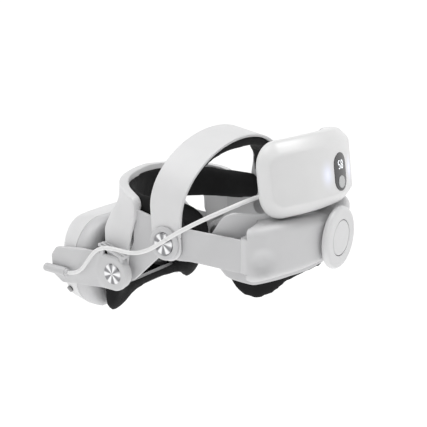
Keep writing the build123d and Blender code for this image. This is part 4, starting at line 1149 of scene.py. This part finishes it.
# ---------------------------------------------------------------- battery pack

PACK_PITCH = radians(8)
PACK_ORIGIN = Vector((0, 100, 66))
PACK_BACK = Vector((0, cos(PACK_PITCH), sin(PACK_PITCH)))
PACK_UP = Vector((0, -sin(PACK_PITCH), cos(PACK_PITCH)))
PACK_R, PACK_CY = 85.5, -61.0
PACK_HALF = radians(57)
PACK_DROOP = 0.08
WINDOW_DROP = -4.8
WINDOW_SIDE = 1.0


def pack_place(u, v, depth):
    """u is length round the pack's outer face, v up it, depth in from it."""
    a = u / PACK_R
    r = PACK_R - depth
    droop = Vector((0, 0, PACK_DROOP * PACK_R * (1 - cos(a))))
    return PACK_ORIGIN + Vector((r * sin(a), 0, 0)) + PACK_BACK * (PACK_CY + r * cos(a)) + PACK_UP * v - droop


def stadium(half_w, half_h, centre=(0, 0), step=1.0):
    corners = []
    for across, up in SQUARE:
        corners.append((centre[0] + across * half_w, centre[1] + up * half_h))
    return rounded(corners, min(half_w, half_h) * 0.995, step)


def add_pack():
    half_u = PACK_HALF * PACK_R
    corners = [(half_u, 31), (-half_u, 31), (-half_u, -33.5), (half_u, -33.5)]
    rings = [(-12.5, 0), (-11.4, 0.1), (-10.4, 0.5), (-8.6, 1.7), (-5.2, 4.3), (-2.4, 6.9), (-1.0, 8.6),
             (-0.3, 10.4), (0, 12.6), (0, 17), (-0.12, 18.9), (-0.5, 19.25), (-0.5, 19.55), (-0.15, 19.9),
             (-0.3, 20.6), (-0.9, 21.4), (-1.9, 21.9), (-12.5, 22)]
    case = slab("pack_case", rounded(corners, 21, 2.0), pack_place, rings, 3.0)
    spots = []
    for side in (-1, 1):
        centre = pack_place(side * 20.5, WINDOW_DROP + 0.5, 0.5)
        spots.append((centre, (1 / 0.011, 1 / 0.02, 1 / 0.017)))
    finish_piece(case, pack_plastic("pack_shell", spots), "battery",
                 ["battery_outer_case", "battery_inner_case"])

    window = slab("pack_window", stadium(10.4, 16.5, (WINDOW_SIDE, WINDOW_DROP)), pack_place,
                  rim(-0.35, 1.2, 0.3, 0.1, 0.6), 3.0)
    finish_piece(window, BLACK_GLASS, "battery", ["battery_window"])
    button = slab("pack_button", stadium(5.3, 5.3, (WINDOW_SIDE, WINDOW_DROP - 8.7), 0.7), pack_place,
                  rim(-1.0, 1.6, 0.5, 0.2, 0.8), 1.5)
    finish_piece(button, BUTTON, "pack_button", ["battery_button"])
    add_digits()


def add_digits():
    """Charge figures, two plain seven-bar digits lit white behind the window."""
    n = Nodes("digit_light")
    n.link(n.ramp(n.noise(900, 2), (0.82, 0.86, 0.9), (0.95, 0.97, 1.0)), n.shader.inputs["Base Color"])
    n.link(n.ramp(n.noise(700, 2), (0.8, 0.85, 0.9), (0.95, 0.98, 1.0)), n.shader.inputs["Emission Color"])
    n.set(Emission_Strength=0.7, Roughness=0.4)
    bars = {
        "a": (0, 2, 1), "b": (1, 1, 0), "c": (1, -1, 0), "d": (0, -2, 1), "e": (-1, -1, 0), "f": (-1, 1, 0),
        "g": (0, 0, 1),
    }
    lit = ("abcdefg", "acdfg")
    made = []
    for index, names in enumerate(lit):
        middle_u = WINDOW_SIDE - 2.4 + 4.8 * index
        for name in names:
            across, up, level = bars[name]
            u = middle_u - across * 1.35
            v = WINDOW_DROP + 6.2 + up * 1.65
            half = (1.15, 0.4) if level else (0.4, 1.3)
            corners = [(u + sx * half[0], v + sy * half[1]) for sx, sy in SQUARE]
            outline = rounded(corners, 0.3, 0.5)
            made.append(slab("bar", outline, pack_place, rim(-0.5, -0.2, 0.06, 0.05, 0.1, 2), 1.2))
    digits = joined("pack_digits", made)
    finish_piece(digits, n.material, "battery")


# ---------------------------------------------------------------- cloth

def swell(piece, cap, voxel):
    """Padded fabric: remeshes the piece, lets cloth pressure fill it, and stops each point at cap."""
    bpy.context.view_layer.objects.active = piece
    for other in bpy.context.selected_objects:
        other.select_set(False)
    piece.select_set(True)
    remesh = piece.modifiers.new("voxels", "REMESH")
    remesh.mode = "VOXEL"
    remesh.voxel_size = voxel * MM
    bpy.ops.object.modifier_apply(modifier=remesh.name)
    start = [v.co.copy() for v in piece.data.vertices]
    cloth = piece.modifiers.new("pressure", "CLOTH")
    cloth.settings.use_pressure = True
    cloth.settings.uniform_pressure_force = 4.0
    cloth.settings.effector_weights.gravity = 0.0
    cloth.settings.mass = 0.3
    cloth.settings.tension_stiffness = 40
    cloth.settings.compression_stiffness = 40
    cloth.settings.quality = 4
    scene = bpy.context.scene
    for number in range(1, 21):
        scene.frame_set(number)
    graph = bpy.context.evaluated_depsgraph_get()
    swollen = piece.evaluated_get(graph).to_mesh()
    moved = [v.co.copy() for v in swollen.vertices]
    piece.evaluated_get(graph).to_mesh_clear()
    piece.modifiers.remove(cloth)
    scene.frame_set(1)
    for vertex, a, b in zip(piece.data.vertices, start, moved):
        step = b - a
        if step.length > cap * MM:
            step = step.normalized() * cap * MM
        vertex.co = a + step
    relax = piece.modifiers.new("relax", "SMOOTH")
    relax.iterations = 3
    bpy.ops.object.modifier_apply(modifier=relax.name)
    finer = piece.modifiers.new("finer", "SUBSURF")
    finer.levels = 1
    bpy.ops.object.modifier_apply(modifier=finer.name)
    piece.data.polygons.foreach_set("use_smooth", [True] * len(piece.data.polygons))


# ---------------------------------------------------------------- floor

def add_floor():
    """Pale round floor that turns up into a backdrop far from the part."""
    profile = [(0.01, 0.0), (9.0, 0.0)]
    profile += [(9.0 + 0.8 * sin(radians(a)), 0.8 - 0.8 * cos(radians(a))) for a in range(10, 91, 10)]
    profile.append((9.8, 4.0))
    sides = 96
    points = []
    for reach, up in profile:
        for k in range(sides):
            a = 2 * pi * k / sides
            points.append(Vector((reach * cos(a), reach * sin(a), up - 0.16)) / MM)
    faces = [tuple(range(sides))]
    for ring in range(len(profile) - 1):
        for k in range(sides):
            low, after = ring * sides, (k + 1) % sides
            faces.append((low + k, low + sides + k, low + sides + after, low + after))
    floor = make_piece("floor", points, faces)
    paper = plastic("floor_paper", (0.10, 0.10, 0.10), 0.9, 0.2)
    shader = paper.node_tree.nodes["Principled BSDF"]
    shader.inputs["Emission Color"].default_value = (1, 1, 1, 1)
    shader.inputs["Emission Strength"].default_value = 0.98
    floor.data.materials.append(paper)
    floor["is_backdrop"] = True


add_camera()
add_studio()
dress_cad_nodes()
add_lead()
add_visor()
add_face_frame()
add_face_foam()
add_clips()
add_strap_pivots()
add_brackets()
add_buckle()
add_forehead()
add_top_strap()
add_housing()
add_cradle()
add_dial()
add_pack()
add_floor()

boxes = {"cad": cad_box, "visual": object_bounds()}
{key: [list(corner) for corner in box] for key, box in boxes.items()}
